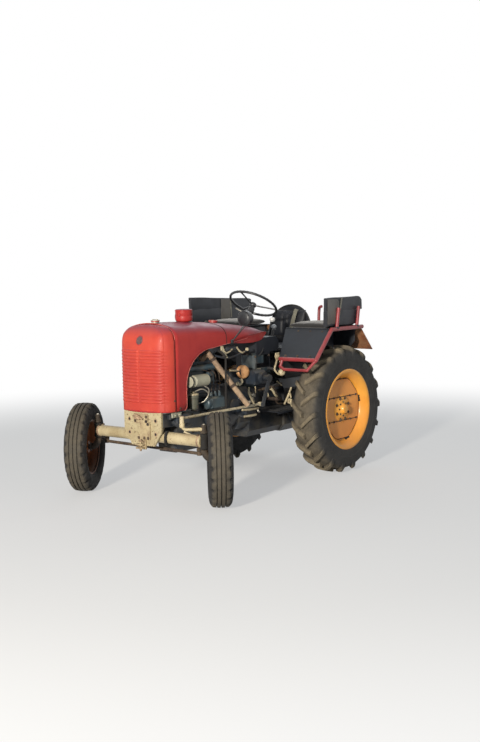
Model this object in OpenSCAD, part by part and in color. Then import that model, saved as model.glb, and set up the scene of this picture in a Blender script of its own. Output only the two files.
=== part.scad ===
// A small vintage farm tractor, millimetres, +X forward, +Y left, +Z up.
// The row origin is on the ground in the symmetry plane, at the middle of the length.
// Inside from_axle() every x is measured forward from the rear axle.

/* [Layout] */
// Rear axle to kingpins
wheelbase = 1693; // [1640:1:1740]
// Rear axle forward of the row origin, negative
rear_axle_x = -763; // [-790:1:-750]
// Half of the distance between the rear tyres' middles
rear_half_track = 589; // [580:1:610]
// Half of the distance between the kingpins
kingpin_y = 547; // [535:1:560]
// Kingpin axis to the middle of the front tyre
kingpin_offset = 110; // [104:1:120]

/* [Steering] */
// Left wheel's angle at rest, at its left lock
steer_left = 41.5; // [30:0.5:43]
// Right wheel's angle at rest, at the left lock
steer_right = 30.5; // [22:0.5:32]
// Kingpin to the drag link's ball on the left knuckle
lever_len = 158; // [140:1:165]
// Drop arm from its shaft to its ball
drop_arm_len = 220; // [200:1:240]
// Kingpin to the track rod's ball, measured rearward
arm_back = 130; // [120:1:140]
// Kingpin to the track rod's ball, measured inward
arm_in = 35; // [30:1:45]

/* [Rear wheels] */
// Radius to the tips of the rear lugs
rear_tyre_r = 536; // [530:1:545]
// Width of the rear tyre
rear_tyre_w = 249; // [240:1:255]
// Height of a rear lug over the carcass
rear_lug_h = 34; // [25:1:38]
// Number of lugs on each side of a rear tyre
rear_lug_n = 18; // [16:1:20]
// Slant of a rear lug from the axle's direction, in degrees
rear_lug_slant = 42; // [35:1:50]
// Radius of the rear rim's flange
rear_rim_r = 330; // [322:1:336]
// Width of the rear rim over its flanges
rear_rim_w = 228; // [215:1:236]

/* [Front wheels] */
// Radius of the front tyre
front_tyre_r = 350; // [344:1:356]
// Width of the front tyre
front_tyre_w = 152; // [144:1:158]
// Radius of the front rim's flange
front_rim_r = 220; // [214:1:226]
// Width of the front rim over its flanges
front_rim_w = 122; // [112:1:126]

/* [Bonnet] */
// Half width of the bonnet and nose
hood_half_w = 250; // [240:1:255]
// Height of the bonnet's crown at the seam to the nose
crown_z = 1335; // [1320:1:1345]
// Radius of the crown's arc seen from the front
crown_r = 620; // [560:5:700]
// Rounding of the bonnet's shoulders, seen from the front
shoulder_r = 70; // [60:1:80]
// Radius of the crown's fall towards the rear, seen from the side
crown_fall_r = 7400; // [7000:50:9000]
// Kingpins to the front face of the nose
nose_overhang = 97; // [87:1:107]
// Length of the nose, up to its seam
nose_len = 134; // [125:1:140]
// Length of the bonnet behind the seam
hood_len = 1156; // [1140:1:1170]
// Lower edge of the nose and the bonnet's front
nose_z = 676; // [668:1:684]
// Sheet thickness of the bonnet
sheet_t = 3; // [2:0.5:4]

/* [Grille] */
// Number of louvres on each side
louvre_n = 16; // [12:1:17]
// Spacing of the louvres
louvre_pitch = 25; // [20:0.5:26]
// Height of one louvre
louvre_h = 18; // [14:0.5:20]
// Underside of the lowest slot
louvre_z = 747; // [735:1:760]
// Inner end of the louvres
louvre_in_y = 24; // [18:1:40]
// Outer end of the louvres
louvre_out_y = 205; // [190:1:215]
// Wall of the nose
nose_t = 6; // [4:0.5:8]

/* [Engine and gearbox] */
// Half width of the engine block
block_half_w = 150; // [135:1:160]
// Underside of the sump
sump_z = 330; // [320:1:345]
// Kingpins back to the front face of the engine
engine_setback = 148; // [138:1:158]
// Length of the engine block
engine_len = 545; // [530:1:560]
// Length of the clutch housing
clutch_len = 360; // [345:1:375]

/* [Axle and bolster] */
// Height of the front axle tube's middle
axle_z = 485; // [480:1:490]
// Diameter of the front axle tube
axle_d = 88; // [80:1:92]
// Kingpins to the front face of the bolster
bolster_overhang = 69; // [62:1:77]

/* [Fenders] */
// Inner edge of the fender's deck
deck_in_y = 262; // [255:1:275]
// Outer edge of the fender's deck
deck_out_y = 700; // [694:1:706]
// Top of the fender's deck
deck_z = 1222; // [1210:1:1235]
// Diameter of the fender's frame tubes
rail_d = 34; // [28:1:36]

/* [Operator] */
// Height of the steering wheel's hub
wheel_hub_z = 1430; // [1415:1:1445]
// Bonnet's rear end back to the steering wheel's hub
wheel_setback = 134; // [124:1:144]
// Diameter of the steering wheel
wheel_d = 415; // [400:1:430]
// Lean of the steering wheel's plane from level, in degrees
wheel_tilt = 32; // [30:0.5:35]
// Top of the driver's seat cushion
seat_z = 1060; // [1040:1:1080]

/* [Hidden] */
$fn = 64;

// Running clearances and small gaps
pin_gap = 0.05;
seat_gap = 0.3;
plate_t = 4;
big = 3000;

// Heights of the axles
rear_z = rear_tyre_r;
front_z = front_tyre_r;

// Places along the tractor, from the rear axle
nose_x = wheelbase + nose_overhang;
seam_x = nose_x - nose_len;
hood_end_x = seam_x - hood_len;
bolster_x = wheelbase + bolster_overhang;
engine_front_x = wheelbase - engine_setback;
engine_rear_x = engine_front_x - engine_len;
gearbox_front_x = engine_rear_x - clutch_len;
wheel_hub_x = hood_end_x - wheel_setback;
dash_x = hood_end_x - 60;
cleaner_x = seam_x - 396;
fuel_cap_x = seam_x - 751;

// Heights of the castings and the dash
block_low_z = sump_z + 100;
block_top_z = sump_z + 490;
head_z = block_top_z + 290;
gearbox_top_z = sump_z + 430;
crank_z = sump_z + 270;
dash_z = crown_z - 145;
tank_low_z = dash_z - 150;

// Rear end of the fender's deck, its sloped apron and the brake drums' radius
deck_rear_x = -205;
apron_top_x = 262;
apron_low_x = 480;
apron_low_z = deck_z - 222;
apron_low_y = deck_in_y + 95;
drum_r = 165;

// Kingpins and what turns on them
kingpin_r = 16;
pivot_r = 20;
boss_r = 30;
boss_low_z = 425;
boss_top_z = 545;
lever_z = 622;
link_z = 660;
arm_z = 405;
rod_z = 375.7;
ball_r = 17;
rod_r = 10;

// Steering box and drop arm
drop_shaft_x = gearbox_front_x + 68;
drop_shaft_z = 850;
drop_arm_y = 412;
drop_arm_t = 14;
link_rear_y = 384;
drop_rest = asin(92 / drop_arm_len);

// Shifts children from the rear axle's x to the row's x
module from_axle() translate([rear_axle_x, 0, 0]) children();

// Draws children on the left and mirrored on the right
module both_sides() {
  children();
  mirror([0, 1, 0]) children();
}

// Round bar between two points
module bar(a, b, r) {
  v = b - a;
  translate(a)
    rotate([0, acos(v.z / norm(v)), atan2(v.y, v.x)])
      cylinder(r = r, h = norm(v));
}

// Round bar through a list of points with ball corners
module bent_bar(points, r) {
  for (i = [1 : len(points) - 1]) bar(points[i - 1], points[i], r);
  if (len(points) > 2)
    for (i = [1 : len(points) - 2]) translate(points[i]) sphere(r = r + 0.4);
}

// Flat plate drawn in x and z, from y = low to y = high
module side_plate(low, high) {
  translate([0, high, 0])
    rotate([90, 0, 0])
      linear_extrude(high - low) children();
}

// Flat plate drawn in y and z, from x = low to x = high
module cross_plate(low, high) {
  translate([low, 0, 0])
    rotate([90, 0, 90])
      linear_extrude(high - low) children();
}

// Block given by its lowest and highest corners
module block(low, high) translate(low) cube(high - low);

// Cylinder along Y through a point
module y_cyl(at, r, len) translate(at - [0, len / 2, 0]) rotate([-90, 0, 0]) cylinder(r = r, h = len);

// Cylinder along X through a point
module x_cyl(at, r, len) translate(at - [len / 2, 0, 0]) rotate([0, 90, 0]) cylinder(r = r, h = len);

// Front view of the bonnet, smaller by inset
module hood_section(inset) {
  half = hood_half_w - inset;
  arc = crown_r - inset;
  fillet = shoulder_r - inset;
  arc_z = crown_z - crown_r;
  fy = half - fillet;
  fz = arc_z + sqrt(pow(arc - fillet, 2) - fy * fy);
  tip = [0, arc_z] + ([fy, fz] - [0, arc_z]) * arc / (arc - fillet);
  difference() {
    intersection() {
      translate([-half, nose_z - 400]) square([2 * half, 1200]);
      translate([0, arc_z]) circle(r = arc, $fn = 200);
    }
    for (s = [-1, 1]) scale([s, 1]) difference() {
      polygon([[fy, fz], tip, tip + [0, 60], [half + 60, fz + 60], [half + 60, fz]]);
      translate([fy, fz]) circle(r = fillet);
    }
  }
}

// Height of the bonnet's crown at x, from the rear axle
function crown_at(x) = crown_z - crown_fall_r + sqrt(pow(crown_fall_r, 2) - pow(seam_x - x, 2));

// Stands children on the crown at x, square to it
module on_crown(x) translate([x, 0, crown_at(x)]) rotate([0, -asin((seam_x - x) / crown_fall_r),
  0]) children();

// Revolves a profile of [radius, y] points about the Y axis
module y_turned() rotate([-90, 0, 0]) rotate_extrude($fn = 120) children();

module engine() {
  cover = [[-190, -70], [-175, -85], [175, -85], [190, -70], [190, 45], [165, 70], [-165, 70], [-190, 45]];
  mid_x = (engine_front_x + engine_rear_x) / 2;
  fan_z = block_top_z - 60;
  from_axle() color("#20262c") {
    cross_plate(engine_rear_x, engine_front_x)
      polygon([[-110, block_low_z], [110, block_low_z], [block_half_w, block_low_z + 40],
        [block_half_w, block_top_z - 30],
        [120, block_top_z], [-120, block_top_z], [-block_half_w, block_top_z - 30],
          [-block_half_w, block_low_z + 40]]);
    cross_plate(engine_rear_x + 40, engine_front_x - 60)
      polygon([[-110, block_low_z + 1], [-85, sump_z], [85, sump_z], [110, block_low_z + 1]]);
    side_plate(-block_half_w - 10, block_half_w + 10) translate([mid_x, crank_z - 40]) polygon(cover);
    x_cyl([engine_rear_x + 14, 0, crank_z], 205, 28);
    x_cyl([engine_rear_x + 115, -block_half_w - 38, crank_z - 30], 42, 170);
    x_cyl([engine_front_x + 18, 0, fan_z], 48, 50);
    translate([engine_front_x - 90, -block_half_w - 48, crank_z + 40]) cylinder(r = 40, h = 150);
    block([engine_front_x - 130, -block_half_w - 30, crank_z + 80],
      [engine_front_x - 50, -100, crank_z + 130]);
  }
  from_axle() color("#171a1e") {
    block([seam_x - 56, -215, nose_z + seat_gap], [seam_x - 8, 215, crown_z - 95]);
    block([seam_x - 62, -180, crown_z - 95.5], [seam_x - 4, 180, crown_z - 60]);
  }
}

module cylinder_head() {
  rocker_z = block_top_z + 240;
  manifold_z = block_top_z + 150;
  ports = [engine_rear_x + 150, engine_rear_x + 275, engine_rear_x + 400];
  from_axle() color("#2b3338") {
    block([engine_rear_x + 50, -120, block_top_z], [engine_front_x - 40, 120, rocker_z]);
    cross_plate(engine_rear_x + 70, engine_front_x - 60)
      polygon([[-95, rocker_z - 1], [-95, head_z - 25], [-70, head_z], [70, head_z], [95, head_z - 25],
        [95, rocker_z - 1]]);
    for (x = ports) y_cyl([x, 145, manifold_z], 19, 70);
    x_cyl([engine_rear_x + 275, 165, manifold_z], 25, 340);
    for (x = ports) translate([x, 60, rocker_z - 70]) rotate([-60, 0, 0]) cylinder(r = 13, h = 100);
  }
}

module gearbox() {
  bell_end_x = gearbox_front_x + 130;
  from_axle() color("#1e242b") {
    translate([engine_rear_x, 0, crank_z]) rotate([0, -90, 0]) cylinder(r1 = 205, r2 = 172,
      h = engine_rear_x - bell_end_x);
    cross_plate(gearbox_front_x - 1, bell_end_x + 20)
      polygon([[-105, crank_z - 180], [105, crank_z - 180], [160, crank_z - 120], [160, crank_z + 120],
        [105, crank_z + 175],
        [-105, crank_z + 175], [-160, crank_z + 120], [-160, crank_z - 120]]);
    cross_plate(180, gearbox_front_x)
      polygon([[-110, sump_z + 10], [110, sump_z + 10], [145, sump_z + 60], [145, gearbox_top_z - 60],
        [120, gearbox_top_z - 16],
        [-120, gearbox_top_z - 16], [-145, gearbox_top_z - 60], [-145, sump_z + 60]]);
    block([200, -105, gearbox_top_z - 17], [gearbox_front_x - 40, 105, gearbox_top_z]);
    x_cyl([gearbox_front_x, 0, crank_z - 20], 178, 24);
    y_cyl([(bell_end_x + engine_rear_x) / 2, 0, crank_z + 30], 55, 392);
  }
}

module rear_axle() {
  from_axle() color("#22282f") {
    cross_plate(-210, 180)
      polygon([[-120, sump_z], [120, sump_z], [170, sump_z + 60], [170, sump_z + 370], [110, sump_z + 450],
        [-110, sump_z + 450], [-170, sump_z + 370], [-170, sump_z + 60]]);
    both_sides() translate([0, 0, rear_z]) y_turned()
      polygon([[0.1, 160], [150, 160], [150, 190], [118, 200], [92, 336], [drum_r - 12, 340],
        [drum_r, 350], [drum_r, 392],
        [drum_r - 8, 396], [drum_r - 8, 404], [drum_r, 408], [drum_r, 424], [drum_r - 25, 430],
          [70, 434], [60, 485], [0.1, 485]]);
  }
}

module bolster() {
  inner_x = bolster_x - 22;
  plate = [[-190, nose_z], [190, nose_z], [190, axle_z + 45], [115, axle_z - 67], [-115, axle_z - 67],
    [-190, axle_z + 45]];
  from_axle() color("#cfc49c") difference() {
    union() {
      cross_plate(inner_x, bolster_x) polygon(plate);
      cross_plate(wheelbase - 75, wheelbase - 50)
        polygon([[-120, axle_z + 125], [120, axle_z + 125], [60, axle_z - 55], [-60, axle_z - 55]]);
      both_sides() block([engine_front_x, 150, axle_z + 75], [inner_x, 190, nose_z - 12]);
      block([engine_front_x, -150, axle_z + 115], [inner_x, 150, nose_z - 12]);
      block([engine_front_x, -hood_half_w, nose_z - 12], [bolster_x, hood_half_w, nose_z]);
    }
    for (y = [-133, 133]) for (z = [512, 614]) x_cyl([bolster_x - 11, y, z], 10.5, 60);
    x_cyl([wheelbase, 0, axle_z], pivot_r + pin_gap, 300);
  }
}

// Towing jaw bolted to the bolster's front, with its pin
module tow_jaw() {
  x = bolster_x + seat_gap;
  from_axle() color("#5c4234") {
    block([x, -75, 588], [x + 12, 64, 659]);
    block([x, -14, 470], [x + 12, 84, 600]);
    block([x, -40, 392], [x + 12, 40, 500]);
    for (z = [398, 425]) block([x + 4, -34, z], [x + 44, 34, z + 12]);
    translate([x + 26, 0, 390]) cylinder(r = 9, h = 62);
  }
}

module front_axle() {
  from_axle() color("#c9bd93") difference() {
    union() {
      y_cyl([wheelbase, 0, axle_z], axle_d / 2, 2 * kingpin_y - 50);
      x_cyl([wheelbase, 0, axle_z], 62, 90);
      x_cyl([wheelbase - 8, 0, axle_z], pivot_r, 153);
      both_sides()
        translate([wheelbase, kingpin_y, boss_low_z]) cylinder(r = boss_r, h = boss_top_z - boss_low_z);
    }
    both_sides()
      translate([wheelbase, kingpin_y, boss_low_z - 5])
        cylinder(r = kingpin_r + pin_gap, h = boss_top_z - boss_low_z + 10);
  }
}

// Side view of the nose and bonnet together, smaller by inset
module hood_side(inset) {
  r = 120 - inset;
  at = [nose_x - 120, crown_z - 120];
  translate([at.x - 400, nose_z - 300]) square([400, at.y + r - nose_z + 300]);
  translate([at.x - 1, nose_z - 300]) square([r + 1, at.y - nose_z + 300]);
  translate(at) circle(r = r);
}

module nose_solid(inset) {
  corner = 90 - inset;
  corner_y = hood_half_w - 90;
  front_r = 560 - inset;
  from_y = corner_y * front_r / (front_r - corner);
  corner_x = nose_x - 560 + sqrt(pow(470, 2) - corner_y * corner_y);
  intersection() {
    cross_plate(seam_x, nose_x + 50) hood_section(inset);
    side_plate(-400, 400) hood_side(inset);
    translate([0, 0, nose_z - 200]) linear_extrude(1200) {
      intersection() {
        translate([nose_x - 560, 0]) circle(r = front_r, $fn = 200);
        translate([seam_x - 10, 2 - from_y]) square([300, 2 * from_y - 4]);
      }
      for (s = [-1, 1]) translate([corner_x, s * corner_y]) circle(r = corner);
      translate([seam_x - 10, inset - hood_half_w]) square([corner_x - seam_x + 10,
        2 * hood_half_w - 2 * inset]);
    }
  }
}

module nose() {
  from_axle() color("#9c2a2c") difference() {
    nose_solid(0);
    translate([-1, 0, 0]) nose_solid(nose_t);
    block([-big, -big, -big], [big, big, nose_z]);
    both_sides() grille_window(0);
  }
}

// Block through the nose in which a louvred panel sits, smaller by inset
module grille_window(inset) {
  top_z = louvre_z + louvre_n * louvre_pitch;
  block([nose_x - 120, louvre_in_y + inset, louvre_z - 17 + inset],
    [nose_x + 50, louvre_out_y - inset, top_z - inset]);
}

module grille() {
  slot_h = louvre_pitch - louvre_h;
  from_axle() color("#8f2628") difference() {
    intersection() {
      difference() {
        nose_solid(0);
        translate([-1, 0, 0]) nose_solid(nose_t);
      }
      both_sides() grille_window(seat_gap / 2);
    }
    both_sides() for (i = [0 : louvre_n - 1])
      translate([nose_x - 130, louvre_in_y + 9, louvre_z + i * louvre_pitch])
        cube([200, louvre_out_y - louvre_in_y - 18, slot_h]);
  }
}

// The bonnet's section swept rearwards, smaller by inset
module hood_sweep(inset, turn) {
  translate([seam_x, 0, crown_z - crown_fall_r]) rotate([0, -90, 90])
    rotate_extrude(angle = turn, $fn = 720)
      translate([crown_fall_r - crown_z, 0]) rotate(-90) hood_section(inset);
}

module bonnet() {
  arch_r = 260;
  arch = [cleaner_x - 20, nose_z + 189];
  turn = asin((hood_len + 30) / crown_fall_r);
  tip_z = crown_z - 133;
  from_axle() color("#a02c30") difference() {
    hood_sweep(0, turn);
    translate([sheet_t, 0, 0]) hood_sweep(sheet_t, turn + 0.5);
    side_plate(-400, 400) {
      polygon([[hood_end_x - 60, 100], [arch.x, 100], [arch.x, arch.y + arch_r],
        [hood_end_x - 60, tip_z + 6]]);
      translate([arch.x - 40, 100]) square([arch_r + 40, arch.y - 100]);
      translate(arch) circle(r = arch_r);
      polygon([[hood_end_x, tip_z - 20], [hood_end_x, tip_z], [hood_end_x + 105, tip_z + 78],
        [hood_end_x + 105, crown_z + 40],
        [hood_end_x - 60, crown_z + 40], [hood_end_x - 60, tip_z - 20]]);
    }
    block([-big, -big, -big], [big, big, nose_z]);
  }
}

module pre_cleaner() {
  from_axle() color("#c23a30") on_crown(cleaner_x) rotate_extrude()
    polygon([[0.1, seat_gap], [42, seat_gap], [42, 14], [34, 18], [56, 22], [64, 27], [67, 33],
      [67, 94], [62, 99], [0.1, 101]]);
}

module filler_caps() {
  radiator_cap = [[0.1, seat_gap], [20, seat_gap], [20, 8], [34, 9], [34, 17], [22, 20], [0.1, 22]];
  fuel_cap = [[0.1, seat_gap], [30, seat_gap], [30, 6], [38, 7], [38, 18], [32, 22], [0.1, 24]];
  from_axle() color("#8e2f30") {
    on_crown(seam_x - 66) rotate_extrude() polygon(radiator_cap);
    on_crown(fuel_cap_x) rotate_extrude() polygon(fuel_cap);
  }
}

module exhaust_pipe() {
  port_x = engine_rear_x + 225;
  bend = [port_x, 208, head_z - 27];
  mouth = [port_x - 195, 440, head_z - 442];
  run = (mouth - bend) / norm(mouth - bend);
  from_axle() color("#6b4636") difference() {
    bent_bar([[port_x, 120 + seat_gap, head_z - 73], [port_x, 155, head_z - 73], bend, mouth], 21);
    bar(mouth - 80 * run, mouth + 5 * run, 17.5);
  }
}

module dynamo() {
  body = [[0.1, -92], [36, -92], [46, -80], [46, 70], [36, 84], [12, 84], [12, 92]];
  pulley = [[41, 92], [41, 96], [30, 103], [41, 110], [41, 114], [0.1, 114]];
  at = [engine_front_x - 175, block_half_w + 85, block_top_z + 65];
  from_axle() color("#8c9086") {
    translate(at) rotate([0, 90, 0]) rotate_extrude() polygon(concat(body, pulley));
    block([at.x - 30, 120 + seat_gap, at.z - 15], [at.x + 30, at.y - 30, at.z + 15]);
  }
}

module fuel_pump() {
  bowl = [[0.1, 0], [28, 0], [41, 14], [41, 88], [45, 94], [45, 116], [18, 122], [18, 132], [0.1, 132]];
  from_axle() color("#5f625c") translate([engine_front_x - 145, block_half_w + 45 + seat_gap, crank_z + 60])
    rotate_extrude() polygon(bowl);
}

module dashboard() {
  low = tank_low_z;
  tank = [[hood_end_x - 165, low + 30], [hood_end_x - 145, low], [hood_end_x + 140, low],
    [hood_end_x + 140, low + 122],
    [hood_end_x - 130, low + 122], [hood_end_x - 165, low + 80]];
  from_axle() color("#1a1d20") {
    side_plate(-235, 235) polygon(tank);
    block([dash_x, -120, low + 100], [hood_end_x + 70, 120, dash_z]);
    block([dash_x, -90, gearbox_top_z + seat_gap], [hood_end_x, 90, low + 1]);
    block([dash_x + 12, 80, gearbox_top_z + 5], [gearbox_front_x - 2, 230, low + 1]);
  }
}

module steering_column() {
  from_axle() color("#22262a") {
    t = [-sin(wheel_tilt), 0, cos(wheel_tilt)];
    hub = [wheel_hub_x, 0, wheel_hub_z];
    difference() {
      bar(hub - 330 * t, hub - (28 + seat_gap) * t, 22);
      block([-big, -big, -big], [big, big, dash_z]);
    }
  }
}

module steering_box() {
  low = crank_z + 175 + seat_gap;
  from_axle() color("#2a2f33") {
    cross_plate(gearbox_front_x + 5, gearbox_front_x + 145)
      polygon([[20, low], [105, low], [190, low + 25], [330, low + 25], [330, 890], [310, 910],
        [60, 910], [20, 880]]);
    y_cyl([drop_shaft_x, 345, drop_shaft_z], 46, 40);
    y_cyl([drop_shaft_x, 360, drop_shaft_z], 22, 60);
  }
}

module headlamps() {
  shell = [[0.1, -60], [30, -54], [52, -36], [64, -8], [66, 30], [72, 34], [72, 46], [66, 50], [60, 48],
    [0.1, 53]];
  // Each lamp: side, x of its middle, y of its middle, x of its foot
  lamps = [
    [1, hood_end_x + 420, 350, hood_end_x + 585],
    [-1, hood_end_x + 362, 350, hood_end_x + 525]
  ];
  for (row = lamps) {
    lamp = [row[1], row[2], crown_z + 5];
    foot = [row[3], hood_half_w, crown_z - 170];
    from_axle() color("#17191b") scale([1, row[0], 1]) {
      translate(lamp) rotate([0, 90, 0]) rotate_extrude() polygon(shell);
      bar(lamp + [20, 0, -60], foot + [0, 13, 0], 9);
      block(foot - [25, 0, 17], foot + [25, 20, 17]);
    }
  }
}

module footplates() {
  inner_y = 145 + seat_gap;
  from_axle() color("#23272b") both_sides() {
    block([180, inner_y, 560], [620, 430, 566]);
    block([180, inner_y, 540], [620, inner_y + 6, 561]);
    block([180, 424, 548], [620, 430, 561]);
    for (x = [260, 440]) block([x, inner_y + 5, 545], [x + 30, 425, 561]);
  }
}

module pedals() {
  from_axle() color("#3a3632")
    both_sides() {
      y_cyl([420, 228, 640], 12, 165);
      bar([420, 300, 640], [520, 300, 762], 9);
      block([470, 270, 758], [560, 340, 768]);
    }
}

module hand_levers() {
  foot_z = gearbox_top_z + seat_gap;
  levers = [[[390, 30], [240, 100, 1291]], [[390, 75], [262, 128, 1228]]];
  knob = [[0.1, -17], [10, -17], [18, -9], [19, 3], [13, 14], [0.1, 18]];
  from_axle() color("#1c1e20") {
    block([360, 10, foot_z], [420, 98, foot_z + 22]);
    for (lever = levers) {
      bar([lever[0].x, lever[0].y, foot_z + 9], lever[1], 7);
      translate(lever[1]) rotate_extrude() polygon(knob);
    }
  }
}

module seat_bracket() {
  from_axle() color("#26292c")
    side_plate(-120, 120)
      polygon([[-160, sump_z + 450], [80, sump_z + 450], [115, sump_z + 490], [115, seat_z - 130],
        [60, seat_z - 60], [-100, seat_z - 60]]);
}

module driver_seat() {
  back_z = seat_z + 130;
  from_axle() color("#17181a") {
    side_plate(-210, 210)
      polygon([[-150, seat_z - 60 + seat_gap], [185, seat_z - 60 + seat_gap], [205, seat_z - 45],
        [205, seat_z - 12], [190, seat_z],
        [-150, seat_z - 14]]);
    cross_plate(-200, -150) {
      translate([-210, seat_z - 50]) square([420, back_z - seat_z + 50]);
      translate([0, back_z]) circle(r = 210);
    }
    both_sides() side_plate(196, 210) polygon([[-151, seat_z - 20], [60, seat_z - 20],
      [-40, seat_z + 120], [-151, seat_z + 160]]);
  }
}

module fenders() {
  low = apron_low_z;
  from_axle() color("#39424b") both_sides() {
    difference() {
      side_plate(deck_in_y, deck_out_y)
        polygon([[apron_low_x, low], [apron_top_x, deck_z], [deck_rear_x, deck_z],
          [deck_rear_x, deck_z - plate_t],
          [apron_top_x - 2, deck_z - plate_t], [apron_low_x - 4, low - 3]]);
      translate([0, 0, low - 20]) linear_extrude(deck_z - low + 40)
        polygon([[apron_top_x, deck_in_y - 5], [apron_low_x + 20, deck_in_y - 5],
          [apron_low_x + 20, apron_low_y]]);
    }
    side_plate(424, 428)
      polygon([[apron_low_x - 6, low - 1], [apron_top_x - 3, deck_z - plate_t],
        [deck_rear_x, deck_z - plate_t],
        [deck_rear_x, low - 40], [300, low - 40]]);
    block([-60, 380, rear_z + drum_r + seat_gap], [60, 386, deck_z - plate_t]);
  }
}

module rear_flaps() {
  from_axle() color("#a4532c") both_sides()
    side_plate(deck_in_y, deck_out_y)
      polygon([[deck_rear_x - seat_gap, deck_z], [deck_rear_x - 195, deck_z - 207],
        [deck_rear_x - 191, deck_z - 211],
        [deck_rear_x - seat_gap, deck_z - plate_t]]);
}

module fender_rails() {
  r = rail_d / 2;
  y = deck_out_y + r + 0.5;
  low = [apron_low_x + 10.3, apron_low_z - 14];
  posts = [[187, 153], [-119, -155]];
  from_axle() color("#b8323a") both_sides() {
    bent_bar([[low.x, apron_low_y, low.y], [low.x, y, low.y], [apron_top_x - 1, y, deck_z - 2],
      [deck_rear_x, y, deck_z - 2]], r);
    bent_bar([[low.x, apron_low_y + 30, low.y], [low.x + 20, apron_low_y + 20, low.y - 60],
      [low.x + 26, apron_low_y + 60, low.y - 82],
      [low.x + 26, y - 70, low.y - 82], [low.x, y, low.y]], 12.5);
    for (post = posts) bar([post[0], y, deck_z - 10], [post[1], y, deck_z + 170], r - 3);
  }
}

module fender_cushions() {
  from_axle() color("#5d6160")
    both_sides() block([-180, 290, deck_z + seat_gap], [245, 655, deck_z + 66]);
}

module bench_backs() {
  from_axle() color("#262b30")
    {
      block([-230, deck_out_y - 37, deck_z + 24], [330, deck_out_y + 3 - seat_gap, deck_z + 258]);
      mirror([0, 1, 0]) block([-470, deck_out_y - 37, deck_z + 90],
        [392, deck_out_y + 3 - seat_gap, deck_z + 258]);
    }
}

module drawbar() {
  from_axle() color("#2b2c2c") difference() {
    block([-480, -40, 380], [-210, 40, 405]);
    translate([-440, 0, 300]) cylinder(r = 14, h = 200);
  }
}

module pto_shaft() {
  from_axle() color("#8b8d8e") x_cyl([-255, 0, 560], 17.45, 90);
}

// Shifts children from a wheel's own frame to its place, turned about the kingpin
module at_front(side, angle) {
  from_axle() translate([wheelbase, side * kingpin_y, 0]) rotate([0, 0, angle]) scale([1, side,
    1]) children();
}

// Knuckle with kingpin, stub and track rod arm, its outer side towards +Y
module knuckle_body() {
  translate([0, 0, arm_z - 8]) cylinder(r = kingpin_r, h = lever_z - arm_z + 8);
  translate([0, 0, arm_z - 9]) cylinder(r = 25, h = boss_low_z - arm_z + 9 - 1);
  bar([0, 0, arm_z + 2], [0, 52, front_z + 2], 20);
  y_cyl([0, 84, front_z], 18, 72);
  bar([0, 0, arm_z], [-arm_back, -arm_in, arm_z], 11);
  translate([-arm_back, -arm_in, arm_z - 14]) cylinder(r = 20, h = 28);
}

module knuckle_left() {
  lever_low_z = boss_top_z + 32;
  color("#c8bc92") at_front(1, steer_left) {
    knuckle_body();
    translate([0, 0, boss_top_z + 1]) cylinder(r = 30, h = 62);
    bent_bar([[0, 0, lever_low_z], [0, 20 - lever_len, lever_low_z],
      [0, -lever_len, lever_low_z + 26]], 12);
    translate([0, -lever_len, lever_low_z + 14]) cylinder(r = 20, h = lever_z + 5 - lever_low_z - 14);
  }
}

module knuckle_right() {
  color("#c8bc92") at_front(-1, steer_right) {
    knuckle_body();
    translate([0, 0, boss_top_z + 1]) cylinder(r = 30, h = 62);
  }
}

// Front rim with disc and hub about the Y axis, outer side towards +Y
module front_rim() {
  w = front_rim_w;
  r = front_rim_r;
  hub = [[18.1, -30], [45, -30], [45, 2], [70, 8], [110, 20], [r - 22, 20], [r - 22, -w / 2 + 8],
    [r, -w / 2]];
  barrel = [[r, -w / 2 + 6], [r - 16, -w / 2 + 14], [r - 16, w / 2 - 14], [r, w / 2 - 6], [r, w / 2],
    [r - 22, w / 2 - 8]];
  disc = [[r - 22, 28], [112, 28], [72, 16], [48, 14], [48, 45], [36, 56], [0.1, 56], [0.1, 40],
    [18.1, 40]];
  difference() {
    y_turned() polygon(concat(hub, barrel, disc));
    for (a = [0 : 45 : 315]) rotate([0, a, 0]) y_cyl([0, 20, 158], 15, 60);
  }
}

module front_tyre() {
  w = front_tyre_w / 2;
  r = front_rim_r;
  o = front_tyre_r;
  groove = 9;
  side = [[r - 15.7, -46.4], [r + 0.3, -54.4], [r + 4, -62], [r + 25, -w + 5], [r + 48, -w],
    [o - 46, -w + 3], [o - 16, -59], [o - 5, -52]];
  ribs = [[o - 3, -33], [o - groove, -31], [o - groove, -24], [o - 1, -22], [o, -4], [o - groove, -3]];
  mirrored = [for (p = concat(side, ribs)) [p.x, -p.y]];
  count = len(mirrored);
  y_turned() polygon(concat(side, ribs, [for (i = [1 : count]) mirrored[count - i]]));
}

module front_wheel_place(side, angle) {
  at_front(side, angle) translate([0, kingpin_offset, front_z]) children();
}

module front_rim_left() color("#c96f2a") front_wheel_place(1, steer_left) front_rim();
module front_tyre_left() color("#2c2b2a") front_wheel_place(1, steer_left) front_tyre();
module front_rim_right() color("#c96f2a") front_wheel_place(-1, steer_right) front_rim();
module front_tyre_right() color("#2c2b2a") front_wheel_place(-1, steer_right) front_tyre();

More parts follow.
